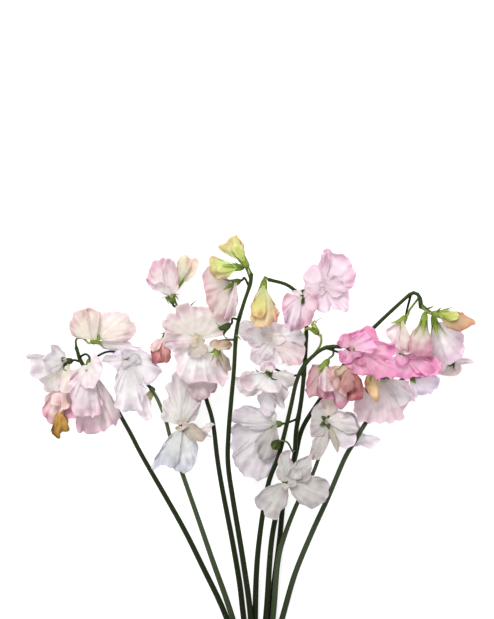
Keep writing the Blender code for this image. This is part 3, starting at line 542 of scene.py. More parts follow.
              (7, 13, 17, 20, 21.5, 21, 18, 13, 8), tilt=2, at=(0, 0, 3), cup=-1.7, pleats=(2, 1.4),
              crumple=1.4),
        Petal(270, "coral_brown", (250, 262, 272, 283, 296),
              (12, 17, 19, 16, 9), tilt=10, at=(0, 0, 4), cup=-1.5, pleats=(1.5, 0.9), crumple=1.0),
        Petal(215, "coral_light", (190, 205, 217, 228, 242),
              (6, 11, 14, 13, 8), tilt=16, at=(0, 0, 4), cup=-1.6, pleats=(1, 0.6), crumple=0.9),
        Petal(250, "crimson", (205, 225, 245, 262, 282),
              (7, 14, 19, 18, 10), tilt=-8, at=(0, 0, -2), cup=1.8, pleats=(2, 1.0)),
    ],
    "bud_d2": [
        Petal(124, "gold", (158, 153, 146, 139, 131, 122, 112, 104, 98, 88),
              (12, 20, 22, 20, 20, 21, 21, 21, 15, 8), tilt=4, at=(0, 0, 2), cup=-1.2, curl=-0.4,
              pleats=(1, 0.8), frill=(3, 1.0)),
        Petal(126, "gold_pale", (156, 146, 134, 120, 108, 96),
              (10, 19, 19, 20, 19, 10), tilt=-6, at=(0, 0, -1), cup=1.7, pleats=(1, 0.5)),
        Petal(118, "yellow_green", (146, 134, 120, 106, 92),
              (8, 13, 15, 13, 7), tilt=10, at=(0, 0, 3), cup=-1.8, pleats=(1, 0.3), frill=(2, 0.3)),
    ],
    "bud_d3": [
        Petal(182, "yellow_lip", (152, 158, 165, 172, 180, 188, 196, 205, 216, 230),
              (12, 19, 21.5, 20, 20.5, 21, 20, 17.5, 14, 9), tilt=3, at=(0, 0, 3), cup=-1.5,
              pleats=(2, 0.9), frill=(3, 1.0)),
        Petal(184, "gold", (155, 166, 180, 194, 210),
              (12, 18, 18, 17, 13), tilt=-8, at=(0, 0, -1), cup=1.8, pleats=(1, 0.5)),
        Petal(184, "yellow_green", (158, 168, 182, 196, 212),
              (8, 13, 15, 14, 9), tilt=9, at=(0, 0, 3), cup=-1.9, pleats=(1, 0.3), frill=(2, 0.3)),
    ],
    "spent_d4": [
        Petal(60, "brown_edge", (150, 135, 110, 82, 55, 34, 18, 2),
              (6, 8, 8, 7.5, 9, 11, 12, 9), tilt=8, at=(0, 0, 5), cup=-0.8, pleats=(3, 0.8),
              crumple=1.0),
        Petal(300, "grey_lilac", (284, 290, 298, 306, 314, 326),
              (9, 15, 18, 17, 12, 7), tilt=-6, cup=-1.0, pleats=(1.5, 0.7), crumple=0.8),
        Petal(258, "beige_pale", (230, 245, 260, 276, 292),
              (6, 11, 13, 10, 6), tilt=-8, at=(0, 0, -2), cup=-1.4, pleats=(1.5, 0.6)),
    ],
    "spent_f3": [
        Petal(238, "coral_beige", (178, 188, 200, 214, 228, 240, 252, 262),
              (11, 15, 18, 18, 19, 21, 21, 22), tilt=2, at=(0, 0, 2), cup=-0.9, pleats=(3, 1.6),
              frill=(5, 1.4), crumple=1.2),
        Petal(280, "wine_brown", (256, 265, 275, 284, 293, 301, 310),
              (17, 24.5, 25.5, 26, 24.5, 20, 13), tilt=-2, at=(0, 0, 1), cup=-1.1, pleats=(2.5, 1.4),
              crumple=1.4),
        Petal(262, "coral_deep", (228, 240, 252, 264, 276, 290),
              (12, 17, 18, 19, 16, 10), tilt=10, at=(0, 0, 4), cup=-1.4, curl=-0.4, pleats=(2, 1.3),
              crumple=1.1),
        Petal(205, "brown_edge", (170, 186, 204, 224, 246),
              (6, 11, 13, 12, 8), tilt=14, at=(0, 0, 4), cup=-1.3, pleats=(1.5, 0.8), crumple=1.0),
    ],
    "bud_f4": [
        Petal(276, "orange_bud", (225, 240, 252, 261, 270, 277, 283, 288, 296, 310),
              (6, 10, 14, 16, 19, 22, 22, 19, 12, 7), tilt=2, at=(0, 0, 3), cup=-1.9, pleats=(1.5, 0.6),
              frill=(2, 0.5)),
        Petal(276, "gold_brown", (240, 256, 270, 284, 300),
              (9, 15, 18, 17, 9), tilt=-6, at=(0, 0, -1), cup=1.9, pleats=(1, 0.4)),
    ],
    "bud_i3": [
        Petal(262, "apricot", (226, 236, 243, 248, 254, 262, 270, 278, 286, 293, 298, 300),
              (9, 14, 21, 27, 29.5, 30.5, 31, 29.5, 27.5, 26, 22, 14), tilt=3, at=(0, 0, 5), cup=-1.5,
              pleats=(2, 0.9), frill=(5, 1.2)),
        Petal(262, "apricot", (230, 244, 256, 270, 284, 298),
              (10, 20, 27, 28, 25, 14), tilt=-12, at=(0, 0, -2), cup=1.8, pleats=(1.5, 0.6)),
        Petal(290, "rust", (268, 278, 287, 295, 302),
              (22, 27, 28, 26.5, 17), tilt=2, at=(0, 0, 2), cup=-1.0, pleats=(1, 0.5), frill=(4, 1.0)),
        Petal(255, "apricot_rose", (234, 244, 254, 266, 278),
              (12, 20, 24, 24, 17), tilt=9, at=(0, 0, 5), cup=-1.6, pleats=(1, 0.5), frill=(3, 1.0)),
    ],
    "bud_j3": [
        Petal(-16, "peach_bud", (16, 6, -2, -8, -14, -20, -30, -42, -56),
              (8, 16, 23, 27, 28, 26.5, 23.5, 19, 13), tilt=3, at=(0, 0, 3), cup=-1.5,
              pleats=(1.5, 0.6), frill=(2, 0.5)),
        Petal(-16, "peach_bud", (12, -4, -16, -32, -50),
              (9, 20, 24, 21, 12), tilt=-9, at=(0, 0, -1), cup=1.8, pleats=(1, 0.4)),
        Petal(-8, "yellow_green", (18, 8, -4, -18, -34),
              (7, 13, 17, 15, 9), tilt=9, at=(0, 0, 3), cup=-1.8, pleats=(1, 0.3), frill=(2, 0.3)),
    ],
}

# ---- colours as seen in even white light, 0 to 255: at the claw, over the body, along the rim; a few hold painted shade or light ----
PALETTES = {
    "white": ((220, 216, 198), (238, 238, 232), (236, 230, 230)),
    "white_lilac": ((219, 214, 206), (237, 235, 235), (230, 223, 229)),
    "white_grey": ((208, 205, 194), (231, 228, 225), (221, 215, 218)),
    "white_blue": ((212, 214, 208), (228, 230, 228), (210, 212, 220)),
    "white_pink": ((240, 236, 214), (246, 244, 241), (243, 232, 236)),
    # painted shade: a greyed white for the petals of k1 and k2 that lie in shade
    "white_blush": ((200, 196, 176), (210, 210, 206), (212, 200, 202)),
    "white_beige": ((218, 204, 190), (236, 228, 224), (232, 210, 210)),
    "white_blush_warm": ((222, 220, 196), (233, 229, 224), (230, 213, 216)),
    "white_shade": ((211, 208, 201), (227, 224, 225), (219, 214, 220)),
    "pink_shade": ((218, 212, 200), (234, 227, 227), (230, 208, 216)),
    # painted light: almost white, to lighten the petals of i4 and a5 that other petals shade
    "pink_in_painted_light": ((246, 241, 228), (247, 247, 247), (247, 237, 241)),
    # painted shade: a greyed white for petals of k1 and i6 that lie in shade
    "white_in_painted_shade": ((188, 186, 176), (212, 209, 205), (200, 195, 197)),
    "cream_white": ((208, 202, 160), (222, 216, 204), (217, 206, 203)),
    "mauve_pale": ((214, 208, 190), (232, 224, 222), (218, 196, 202)),
    # painted shade: a greyed cream for petals of k1 and k2 that lie in shade
    "cream_in_painted_shade": ((198, 193, 180), (213, 209, 205), (204, 195, 195)),
    "dusk": ((222, 224, 216), (237, 238, 236), (231, 224, 228)),
    "cream_glow": ((212, 208, 132), (230, 222, 194), (226, 214, 203)),
    "cream": ((220, 218, 186), (242, 238, 228), (236, 222, 224)),
    "cream_pink": ((222, 229, 195), (238, 234, 226), (234, 216, 214)),
    "cream_streak": ((219, 220, 190), (234, 227, 219), (217, 160, 182)),
    "pink": ((230, 226, 210), (236, 232, 233), (230, 208, 217)),
    "pink_pale": ((238, 234, 218), (246, 240, 240), (241, 224, 230)),
    "pink_beige": ((214, 211, 184), (227, 218, 213), (221, 190, 196)),
    "pink_dusk": ((202, 200, 184), (228, 222, 220), (216, 188, 200)),
    "pink_rose": ((216, 211, 184), (232, 227, 225), (224, 192, 203)),
    "pink_veil": ((230, 224, 206), (239, 229, 234), (235, 208, 222)),
    "pink_even": ((234, 228, 216), (238, 226, 232), (238, 221, 230)),
    "pink_streak": ((230, 226, 208), (239, 222, 229), (232, 194, 210)),
    "blush": ((226, 228, 206), (241, 241, 240), (238, 224, 228)),
    "blush_warm": ((228, 226, 204), (240, 234, 228), (236, 220, 222)),
    "blush_rose": ((206, 186, 164), (216, 188, 188), (208, 146, 162)),
    "lilac_pink": ((226, 214, 202), (239, 232, 231), (231, 208, 216)),
    "lilac_deep": ((224, 210, 206), (239, 231, 236), (233, 206, 224)),
    "lavender": ((230, 226, 224), (242, 238, 242), (232, 222, 236)),
    "lavender_pink": ((233, 228, 219), (239, 235, 236), (233, 215, 226)),
    "rose_lip": ((232, 230, 214), (242, 238, 238), (237, 205, 222)),
    "rose_wine": ((216, 200, 188), (232, 216, 220), (210, 150, 174)),
    "vivid": ((214, 162, 164), (234, 192, 210), (230, 156, 198)),
    "vivid_light": ((242, 192, 202), (245, 212, 230), (244, 176, 216)),
    "vivid_deep": ((180, 136, 120), (212, 164, 176), (218, 144, 178)),
    "peach_fold": ((224, 214, 182), (235, 230, 221), (229, 206, 208)),
    "peach": ((208, 226, 164), (236, 237, 220), (231, 211, 196)),
    "peach_pale": ((226, 238, 194), (246, 243, 231), (240, 222, 212)),
    "peach_bud": ((164, 196, 92), (212, 196, 150), (216, 168, 146)),
    "beige": ((182, 174, 144), (204, 198, 184), (196, 182, 176)),
    "beige_pale": ((208, 202, 184), (228, 220, 212), (222, 206, 204)),
    "coral_light": ((234, 230, 208), (244, 226, 226), (240, 217, 208)),
    "coral_beige": ((219, 224, 182), (234, 226, 211), (213, 166, 168)),
    "coral_dusk": ((222, 228, 204), (236, 226, 220), (220, 180, 190)),
    "coral_deep": ((184, 158, 118), (202, 160, 150), (182, 116, 122)),
    "coral_brown": ((210, 200, 164), (226, 178, 170), (172, 104, 104)),
    "crimson": ((228, 216, 182), (228, 164, 160), (150, 70, 88)),
    "wine_brown": ((198, 188, 116), (222, 170, 156), (150, 66, 88)),
    "gold_brown": ((232, 196, 166), (194, 156, 74), (96, 72, 28)),
    "brown_edge": ((214, 206, 180), (222, 206, 182), (146, 98, 70)),
    "grey_lilac": ((190, 180, 156), (200, 192, 174), (180, 164, 154)),
    "gold": ((178, 216, 124), (224, 232, 176), (216, 194, 140)),
    "gold_pale": ((200, 214, 130), (238, 230, 166), (226, 190, 124)),
    "yellow_green": ((160, 188, 84), (216, 224, 132), (234, 232, 172)),
    "yellow_lip": ((174, 226, 116), (220, 238, 158), (222, 194, 160)),
    "orange_bud": ((218, 220, 148), (242, 230, 182), (218, 158, 128)),
    "apricot": ((208, 232, 160), (240, 240, 198), (236, 206, 170)),
    "apricot_rose": ((206, 228, 128), (242, 238, 166), (238, 202, 162)),
    "rust": ((238, 232, 200), (244, 222, 196), (228, 168, 150)),
    "calyx": ((52, 64, 30), (102, 120, 54), (156, 164, 90)),
    "calyx_dark": ((36, 44, 22), (58, 72, 32), (96, 106, 50)),
    "calyx_bright": ((76, 92, 38), (132, 148, 64), (184, 190, 108)),
    "calyx_dry": ((120, 118, 76), (190, 182, 134), (222, 212, 168)),
    "stem": ((20, 27, 8), (29, 38, 14), (46, 60, 24)),
    "stem_grey": ((34, 42, 26), (58, 68, 46), (84, 96, 70)),
    "pith": ((158, 176, 112), (190, 200, 146), (150, 168, 110)),
    "green_bud": ((42, 48, 20), (58, 62, 28), (90, 92, 46)),
}
GREY_STEMS = ("b", "k", "l")

# ---- sepals that curl free of the bells: stem, start, (heading, tilt), length, curl --------------
FREE_SEPALS = [
    ("a", (-117, 88, 24), (150, 10), 7.0, 80),
    ("c", (-61, 91, 32), (198, 5), 6.5, 40),
    ("c", (-49, 105, 17), (20, 25), 11.0, -20),
    ("c", (-49, 106, 17), (48, 30), 15.0, 15),
    ("c", (-65, 119, 25), (305, 10), 6.5, 40),
    ("c", (-57, 118, 25), (320, 10), 6.5, 40),
    ("d", (-7, 138, 74), (165, 10), 9.0, 55),
    ("d", (-11, 88, 66), (330, 0), 5.5, 30),
    ("f", (74, 92, 66), (315, 0), 5.0, 20),
    ("j", (139, 107, 50), (62, 20), 6.5, 60),
    ("j", (134, 110, 46), (10, 10), 8.0, -50),
]

# ---- the youngest bud, shut in its calyx, on a stalk of its own, as in part.py -------------------
YOUNG_BUD_STEM = "i"
YOUNG_BUD_BACK = 146
YOUNG_BUD_ROUTE = [(32, 1, 31), (28, 8, 40), (22, 9.5, 43)]
YOUNG_BUD_FACING = (232, -15)
YOUNG_BUD_LENGTH = 8.5
YOUNG_BUD_RADIUS = 3.8
YOUNG_BUD_FLATNESS = 0.85       # its height as a share of its width
YOUNG_BUD_RIBS = (5, 0.06)
YOUNG_BUD_STALK_RADIUS = 0.7
YOUNG_BUD_SEPAL = (2.6, 62, -105)   # width, splay and curl
YOUNG_BUD_SEPAL_PLACE = 1.2     # how far from the bud's axis its sepals start
YOUNG_BUD_SEED = 91


def linear(colour):
    """A colour of 0 to 255 a channel as reflectances."""
    share = np.array(colour, float) / 255
    return np.where(share <= 0.04045, share / 12.92, ((share + 0.055) / 1.055) ** 2.4)


def ease(value, start=0.0, end=1.0):
    """0 up to start and 1 from end on, with a soft rise between them."""
    share = np.clip((value - start) / (end - start), 0, 1)
    return share * share * (3 - 2 * share)


def unit(vector):
    """The vector with a length of 1."""
    return vector / np.linalg.norm(vector)


def direction(heading, tilt):
    """The unit vector at a heading in the table's plane, tilted up from it."""
    return Vector((cos(radians(heading)) * cos(radians(tilt)),
                   sin(radians(heading)) * cos(radians(tilt)), sin(radians(tilt))))


def distances_along(path):
    """How far along a path each of its points lies."""
    return np.concatenate([[0], np.cumsum(np.linalg.norm(np.diff(path, axis=0), axis=1))])


def smooth_path(points, count):
    """Evenly spaced points on the Catmull-Rom curve through the points."""
    ends = [2 * points[0] - points[1]] + points + [2 * points[-1] - points[-2]]
    fine = []
    for p0, p1, p2, p3 in zip(ends, ends[1:], ends[2:], ends[3:]):
        for step in range(CURVE_STEPS):
            t = step / CURVE_STEPS
            fine.append(0.5 * (2 * p1 + (p2 - p0) * t + (2 * p0 - 5 * p1 + 4 * p2 - p3) * t ** 2
                               + (3 * p1 - p0 - 3 * p2 + p3) * t ** 3))
    fine = np.array(fine + [points[-1]])
    travelled = distances_along(fine)
    wanted = np.linspace(0, travelled[-1], count + 1)
    return np.stack([np.interp(wanted, travelled, fine[:, axis]) for axis in range(3)], axis=1)


def point_back_from_tip(path, back):
    """The point on a stem's path that lies a distance back from its tip."""
    travelled = distances_along(path)
    wanted = travelled[-1] - back
    return Vector([np.interp(wanted, travelled, path[:, axis]) for axis in range(3)])


# ---- meshes ---------------------------------------------------------------------------------------
def add_object(name, data):
    """A new object in the scene."""
    added = bpy.data.objects.new(name, data)
    bpy.context.scene.collection.objects.link(added)
    return added


class Piece:
    """The surfaces of one piece as they are gathered: points in millimetres, faces, colour, grain."""

    def __init__(self):
        self.points, self.tint, self.grain, self.faces = [], [], [], []
        self.count = 0

    def add_grid(self, points, tint, grain, closed):
        """A grid of (rows, columns) points; a closed one joins its last column to its first."""
        rows, columns = points.shape[:2]
        for store, values in ((self.points, points), (self.tint, tint), (self.grain, grain)):
            store.append(np.broadcast_to(values, points.shape).reshape(-1, 3))
        index = self.count + np.arange(rows * columns).reshape(rows, columns)
        following = np.roll(index, -1, axis=1) if closed else index[:, 1:]
        here = index if closed else index[:, :-1]
        quads = np.stack([here[:-1], following[:-1], following[1:], here[1:]], axis=-1)
        self.faces += quads.reshape(-1, 4).tolist()
        if closed:
            self.faces += [index[0, ::-1].tolist(), index[-1].tolist()]
        self.count += rows * columns

    def build(self, node_name, replaced, material, thickness=0.0):
        """The finished object, riding on the root body in the CAD nodes' place."""
        mesh = bpy.data.meshes.new(node_name)
        mesh.from_pydata((np.concatenate(self.points) * MM).tolist(), [], self.faces)
        mesh.shade_smooth()
        tint = mesh.attributes.new("tint", "FLOAT_COLOR", "POINT")
        colours = np.concatenate(self.tint)
        tint.data.foreach_set("color", np.c_[colours, np.ones(len(colours))].ravel())
        grain = mesh.attributes.new("grain", "FLOAT_VECTOR", "POINT")
        grain.data.foreach_set("vector", np.concatenate(self.grain).ravel())
        mesh.materials.append(material)
        built = add_object(node_name, mesh)
        if thickness:
            sheet = built.modifiers.new("thickness", "SOLIDIFY")
            sheet.thickness = thickness * MM
            sheet.offset = 0.0
        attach(built, "root")
        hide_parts(replaced)


def sweep(path, across, half_widths, half_heights, sides, ribs=(0, 0), way=None):
    """Rings round a path, one grid row each; across starts as the direction of the half widths."""
    path = np.array(path, float)
    ways = np.gradient(path, axis=0) if way is None else np.tile(way, (len(path), 1))
    ways = ways / np.linalg.norm(ways, axis=1)[:, None]
    angles = np.arange(sides) * 2 * pi / sides
    ripple = 1 + ribs[1] * np.cos(ribs[0] * angles)
    across = np.array(across, float)
    rows = []
    for centre, forward, half_width, half_height in zip(path, ways, half_widths, half_heights):
        across = unit(across - forward * (across @ forward))
        up = np.cross(forward, across)
        rows.append(centre + np.outer(np.cos(angles) * ripple * half_width, across)
                    + np.outer(np.sin(angles) * ripple * half_height, up))
    return np.array(rows)


def side_of(way):
    """A vector square to the given one."""
    return np.cross(way, SLANT)


def colours_along(palette, shares, sides):
    """A grid of colours from the foot, over the middle, to the tip."""
    foot, middle, tip = (linear(colour) for colour in PALETTES[palette])
    shares = np.array(shares)[:, None]
    row = foot + (middle - foot) * ease(shares, 0, FOOT_COLOUR_END)
    row = row + (tip - row) * ease(shares, TIP_COLOUR_START, 1)
    return np.repeat(row[:, None, :], sides, axis=1)


def grain_round(rows, sides, radius, length, seed):
    """Texture coordinates in millimetres: round a tube, along it, and a number of its own."""
    # round the tube it is a cosine, so that the streaks meet where the tube closes
    turn = np.arange(sides) * 2 * pi / sides
    grain = np.zeros((rows, sides, 3))
    grain[..., 0] = radius * pi * np.cos(turn)
    grain[..., 1] = np.linspace(0, length, rows)[:, None]
    grain[..., 2] = seed + 2 * np.sin(turn)
    return grain


# the extra rings that round a tube's start and end: how far out and how wide, in radii
TUBE_START = (0.12, 0.8)
TUBE_END = (0.35, 0.6)


def add_tube(piece, path, radii, sides, palette, seed, ribs=(0, 0)):
    """A round stalk with rounded ends."""
    path = np.array(path, float)
    start, end = unit(path[1] - path[0]), unit(path[-1] - path[-2])
    ring_path = np.vstack([path[0] - start * TUBE_START[0] * radii[0], path,
                           path[-1] + end * TUBE_END[0] * radii[-1]])
    ring_radii = np.concatenate([[TUBE_START[1] * radii[0]], radii, [TUBE_END[1] * radii[-1]]])
    length = np.linalg.norm(np.diff(path, axis=0), axis=1).sum()
    rows = len(ring_path)
    piece.add_grid(sweep(ring_path, side_of(start), ring_radii, ring_radii, sides, ribs),
                   colours_along(palette, np.linspace(0, 1, rows), sides),
                   grain_round(rows, sides, radii[0], length, seed), closed=True)


def add_sepal(piece, start, way, outward, length, width, splay, curl, palette, seed):
    """A pointed sepal that leaves along way, leans outward by splay and then turns by curl."""
    shares = np.linspace(0, 1, SEPAL_STEPS + 1)
    lean = np.radians(splay) * ease(shares, 0, 0.35) + np.radians(curl) * shares ** 1.6
    ways = np.outer(np.cos(lean), way) + np.outer(np.sin(lean), outward)
    path = start + np.vstack([np.zeros(3), np.cumsum(ways[1:] * length / SEPAL_STEPS, axis=0)])
    to_tip = 1.05 - shares      # a little more than nothing is left at the tip
    half_widths = 0.5 * width * to_tip ** 0.7 * (0.85 + 0.3 * ease(shares, 0, 0.2))
    half_heights = SEPAL_HALF_THICKNESS * to_tip ** 0.4
    piece.add_grid(sweep(path, np.cross(way, outward), half_widths, half_heights, SEPAL_SIDES),
                   colours_along(palette, 0.35 + 0.65 * shares, SEPAL_SIDES),
                   grain_round(SEPAL_STEPS + 1, SEPAL_SIDES, width / 2, length, seed), closed=True)


def sepal_places(axis, across, first=0.0):
    """The number of each sepal and the way it stands out from the axis."""
    upward = np.cross(axis, across)
    for number in range(SEPALS):
        turn = 2 * pi * (number + first) / SEPALS
        yield number, across * cos(turn) + upward * sin(turn)


# distance from the calyx foot and radius, as shares of the length and the mouth's radius: up the
# outside of the bell, over its lip and down inside
BELL = [(-0.06, 0.20), (0.0, 0.38), (0.08, 0.55), (0.22, 0.74), (0.45, 0.88), (0.7, 0.95),
        (0.92, 1.0), (1.0, 0.99), (1.0, 0.90), (0.85, 0.86), (0.6, 0.76), (0.35, 0.55), (0.3, 0.2)]


def add_calyx(piece, mouth, facing, sepal_length, splay, curl, palette, seed):
    """A ribbed bell, open at its mouth, with its sepals round the mouth."""
    foot = mouth - facing * CALYX_LENGTH
    shares, widths = np.array(BELL).T
    radii = widths * CALYX_MOUTH_RADIUS
    path = np.array([foot + facing * (CALYX_LENGTH * share) for share in shares])
    across = unit(side_of(facing))
    piece.add_grid(sweep(path, across, radii, radii, CALYX_SIDES, CALYX_RIBS, way=facing),
                   colours_along(palette, 0.15 + 0.45 * shares, CALYX_SIDES),
                   grain_round(len(BELL), CALYX_SIDES, CALYX_GRAIN_RADIUS, CALYX_LENGTH, seed),
                   closed=True)
    chance = np.random.default_rng(seed)
    for number, outward in sepal_places(facing, across, 0.15 * seed):
        start = np.array(mouth - facing * SEPAL_DEPTH) + outward * CALYX_MOUTH_RADIUS * SEPAL_PLACE
        vary = chance.uniform(0.85, 1.15, 3)
        add_sepal(piece, start, np.array(facing), outward, sepal_length * vary[0], SEPAL_WIDTH,
                  splay * vary[1], curl * vary[2], palette, seed + 0.1 * number)


def build_stem(letter, points, material):
    """One stem with its stalks, its calyxes and the loose ends that grow from it."""
    piece = Piece()
    path = smooth_path([Vector(point) for point in points], STEM_STEPS)
    shares = np.linspace(0, 1, len(path)) ** STEM_TAPER
    radii = STEM_RADIUS_CUT_END + (STEM_RADIUS_TIP - STEM_RADIUS_CUT_END) * shares
    seed = 10.0 * list(STEMS).index(letter)
    stem_palette = "stem_grey" if letter in GREY_STEMS else "stem"
    calyxes = [row for row in CALYXES.values() if row[0] == letter]
    # a little thicker where each stalk leaves
    for _, back, *_ in calyxes:
        nearness = np.linalg.norm(path - np.array(point_back_from_tip(path, back)), axis=1)
        radii = radii + NODE_SWELLING * np.exp(-(nearness / NODE_REACH) ** 2)
    add_tube(piece, path, radii, STEM_SIDES, stem_palette, seed, STEM_RIBS)
    add_cut_end(piece, path, seed)
    for number, (_, back, mouth, facing, via, *sepals, palette) in enumerate(calyxes):
        mouth, facing = Vector(mouth), direction(*facing)
        foot = mouth - facing * CALYX_LENGTH
        route = [point_back_from_tip(path, back)] + [Vector(point) for point in via]
        route += [foot - facing * STALK_LEAD, foot + facing * STALK_OVERLAP]
        stalk = smooth_path(route, STALK_STEPS)
        stalk_radii = STALK_RADIUS * (1 + STALK_FLARE * np.linspace(1, -1, len(stalk)) ** 4)
        stalk_palette = stem_palette if palette != "calyx_bright" else "calyx"
        add_tube(piece, stalk, stalk_radii, STALK_SIDES, stalk_palette, seed + number)
        add_calyx(piece, mouth, facing, *sepals, palette, int(seed) + number)
    for number, (stem, start, way, length, curl) in enumerate(FREE_SEPALS):
        if stem == letter:
            add_free_sepal(piece, start, np.array(direction(*way)), length, curl, number)
    if letter == YOUNG_BUD_STEM:
        add_young_bud(piece, path)
    piece.build(f"stem_{letter}_detail", f"stem_{letter}", material)


# rings of the pith: how far out of the cut end, in millimetres, and how wide, in stem radii
PITH_RINGS = [(0.1, 0.86), (0.32, 0.8), (0.36, 0.4)]


def add_cut_end(piece, path, seed):
    """The pale pith that shows where the stem was cut, a thin disc on its end."""
    back = unit(path[0] - path[1])
    rings = np.array([path[0] + back * rise for rise, _ in PITH_RINGS])
    radii = STEM_RADIUS_CUT_END * np.array([width for _, width in PITH_RINGS])
    piece.add_grid(sweep(rings, side_of(back), radii, radii, STEM_SIDES, way=back),
                   colours_along("pith", (0.2, 0.5, 1.0), STEM_SIDES),
                   grain_round(len(rings), STEM_SIDES, 1.0, 1.0, seed), closed=True)


def add_free_sepal(piece, start, forward, length, curl, seed):
    """A sepal that grows from the point of the stem or its calyxes that is nearest to start."""
    outward = unit(np.cross(forward, (0, 0, 1)) + (0, 0, 0.9))
    grown = np.concatenate(piece.points)
    root = grown[np.argmin(np.linalg.norm(grown - np.array(start), axis=1))]
    add_sepal(piece, root, forward, outward, length, FREE_SEPAL_WIDTH, 0, curl, "calyx", seed)


def add_young_bud(piece, path):
    """The youngest bud: a closed egg wrapped in its sepals, at the end of its own stalk."""
    route = [point_back_from_tip(path, YOUNG_BUD_BACK)] + [Vector(p) for p in YOUNG_BUD_ROUTE]
    forward = np.array(direction(*YOUNG_BUD_FACING))
    stalk = smooth_path(route + [route[-1] + Vector(forward)], STALK_STEPS)
    add_tube(piece, stalk, np.full(len(stalk), YOUNG_BUD_STALK_RADIUS), STALK_SIDES, "calyx_dark",
             YOUNG_BUD_SEED)
    shares = np.linspace(0, 1, YOUNG_BUD_STEPS + 1)
    start = np.array(route[-1])
    path = np.array([start + forward * YOUNG_BUD_LENGTH * share for share in shares])
    radii = YOUNG_BUD_RADIUS * np.sin(pi * (0.04 + 0.93 * shares)) ** 0.7
    across = unit(side_of(forward))
    piece.add_grid(
        sweep(path, across, radii, radii * YOUNG_BUD_FLATNESS, YOUNG_BUD_SIDES, YOUNG_BUD_RIBS),
        colours_along("green_bud", shares, YOUNG_BUD_SIDES),
        grain_round(len(path), YOUNG_BUD_SIDES, 3.0, YOUNG_BUD_LENGTH, YOUNG_BUD_SEED + 1),
        closed=True)
    width, splay, curl = YOUNG_BUD_SEPAL
    for number, outward in sepal_places(forward, across):
        add_sepal(piece, start + outward * YOUNG_BUD_SEPAL_PLACE, forward, outward,
                  YOUNG_BUD_LENGTH, width, splay, curl, "calyx_dark", YOUNG_BUD_SEED + 2 + number)


# ---- petals ---------------------------------------------------------------------------------------
GOLDEN_ANGLE = 2.39996     # steps the phase of the waves from one petal to the next
COLUMN_WIDTH = 1.0         # spacing of a petal's columns along its rim
COLUMN_LIMITS = (24, 90)
ROW_LENGTH = 1.15          # spacing of its rows from claw to rim
ROW_LIMITS = (14, 36)
CLAW_FAN = 0.35            # how wide a petal fans out at its claw, as a share of its full fan
FAN_END = 0.3              # where along a petal it has fanned out, and its sharp folds are deep
CURL_START = 0.62          # where its curl starts
ROLL_START = 0.8           # and where the roll of its rim does
PLEAT_DEPTH = 0.3          # share of a petal's full pleats that is left once it is open
CRUMPLE_DEPTH = 3.6        # height of the crumples of a petal whose own crumple value is 1
CRUMPLE_SIZE = 12
FINE_CRUMPLE_SIZE = 4
FINE_CRUMPLES = 0.4        # height of the fine crumples as a share of the coarse ones
RUFFLE = 5.2               # height of the uneven waves of a rim whose frill is 1 high
RUFFLE_LEAN = 4.0          # and how far they lean over sideways
RIM_ROLL = 2.6             # how far a rim rolls up or down along its length, radians
RIM_NOTCH = 0.07           # how ragged a rim is, as a share of the reach
FRILL_NOTCH = 0.012        # and how much further it reaches on the frill's high waves
RIPPLE = 1.8               # height of the small waves along a rim
CREASE = 0.5               # depth of the sharp folds
CREASE_SHARPNESS = 7
# the noise behind each of these: its wavelength along the rim, its own layer of the noise, and
# how much it changes from claw to rim
ROLL_NOISE = (13, 21, 0)
NOTCH_NOISE = (4.5, 11, 0)
LEAN_NOISE = (6.5, 41, 1)
RUFFLE_NOISE = (7.5, 3, 1.6)
RIPPLE_NOISE = (3.6, 5, 2)
CREASE_NOISE = (12, 31, 0.9)
FINE_CRUMPLE_LAYER = 9

BODY_START = 0.28          # where along a petal the claw's colour has passed into the body's
BODY_PATCHES = 0.12        # how much earlier or later that is in patches
RIM_START = 0.5            # where the rim's colour starts
RIM_PATCHES = 0.25
RIM_BLEND = 0.5            # over how much of the petal it comes in
RIM_TINT = 0.85            # how much of its rim colour a petal takes on at the rim
LIP_START = 0.9            # the lip is the outermost part of the rim
LIP_PAINTED_LIGHT = 0.08           # painted light: how much lighter the lip is painted, as if light came through its thin edge
HOLLOW_REACH = 3           # a hollow lies below the mean of so many rows and columns round it
HOLLOW_SHADE = 0.09        # painted shade: how much darker a petal is painted in a hollow 1 mm deep
PAINTED_SHADE_AND_LIGHT_LIMITS = (-0.10, 0.30)   # how much the painted light on ridges may lighten and the painted shade in hollows darken
BRIGHTEST = 0.96           # no petal reflects more than this
GRAIN_FAN = 30             # texture millimetres across a petal for each radian of its fan
GRAIN_STEP = 7.0           # and from one petal's texture to the next


def noise_over(first, second, third):
    """Soft noise of about -0.5 to 0.5 over two grids of coordinates."""
    values = [noise.noise(Vector((a, b, third))) for a, b in zip(first.ravel(), second.ravel())]
    return np.array(values).reshape(first.shape)


def hollows(height):
    """How far each point of a grid lies below the mean of its surroundings, above where negative."""
    mean = height
    for axis in (0, 1):
        padded = np.pad(mean, [(HOLLOW_REACH, HOLLOW_REACH) if axis == side else (0, 0)
                               for side in (0, 1)], mode="reflect", reflect_type="odd")
        total = np.cumsum(np.insert(padded, 0, 0, axis=axis), axis=axis)
        span = 2 * HOLLOW_REACH + 1
        upper = np.take(total, np.arange(span, total.shape[axis]), axis=axis)
        lower = np.take(total, np.arange(total.shape[axis] - span), axis=axis)
        mean = (upper - lower) / span
    return mean - height


def petal_rim(shape):
    """Angles from the midrib and reaches of even steps along a petal's rim, and its length."""
    outline = sorted((radians(shape.heading - heading), reach)
                     for heading, reach in zip(shape.headings, shape.reaches))
    corners = [Vector((reach * sin(angle), reach * cos(angle), 0)) for angle, reach in outline]
    length = sum((after - before).length for before, after in zip(corners, corners[1:]))
    rim = smooth_path(corners, int(np.clip(length / COLUMN_WIDTH, *COLUMN_LIMITS)))
    return np.unwrap(np.arctan2(rim[:, 0], rim[:, 1])), np.hypot(rim[:, 0], rim[:, 1]), length


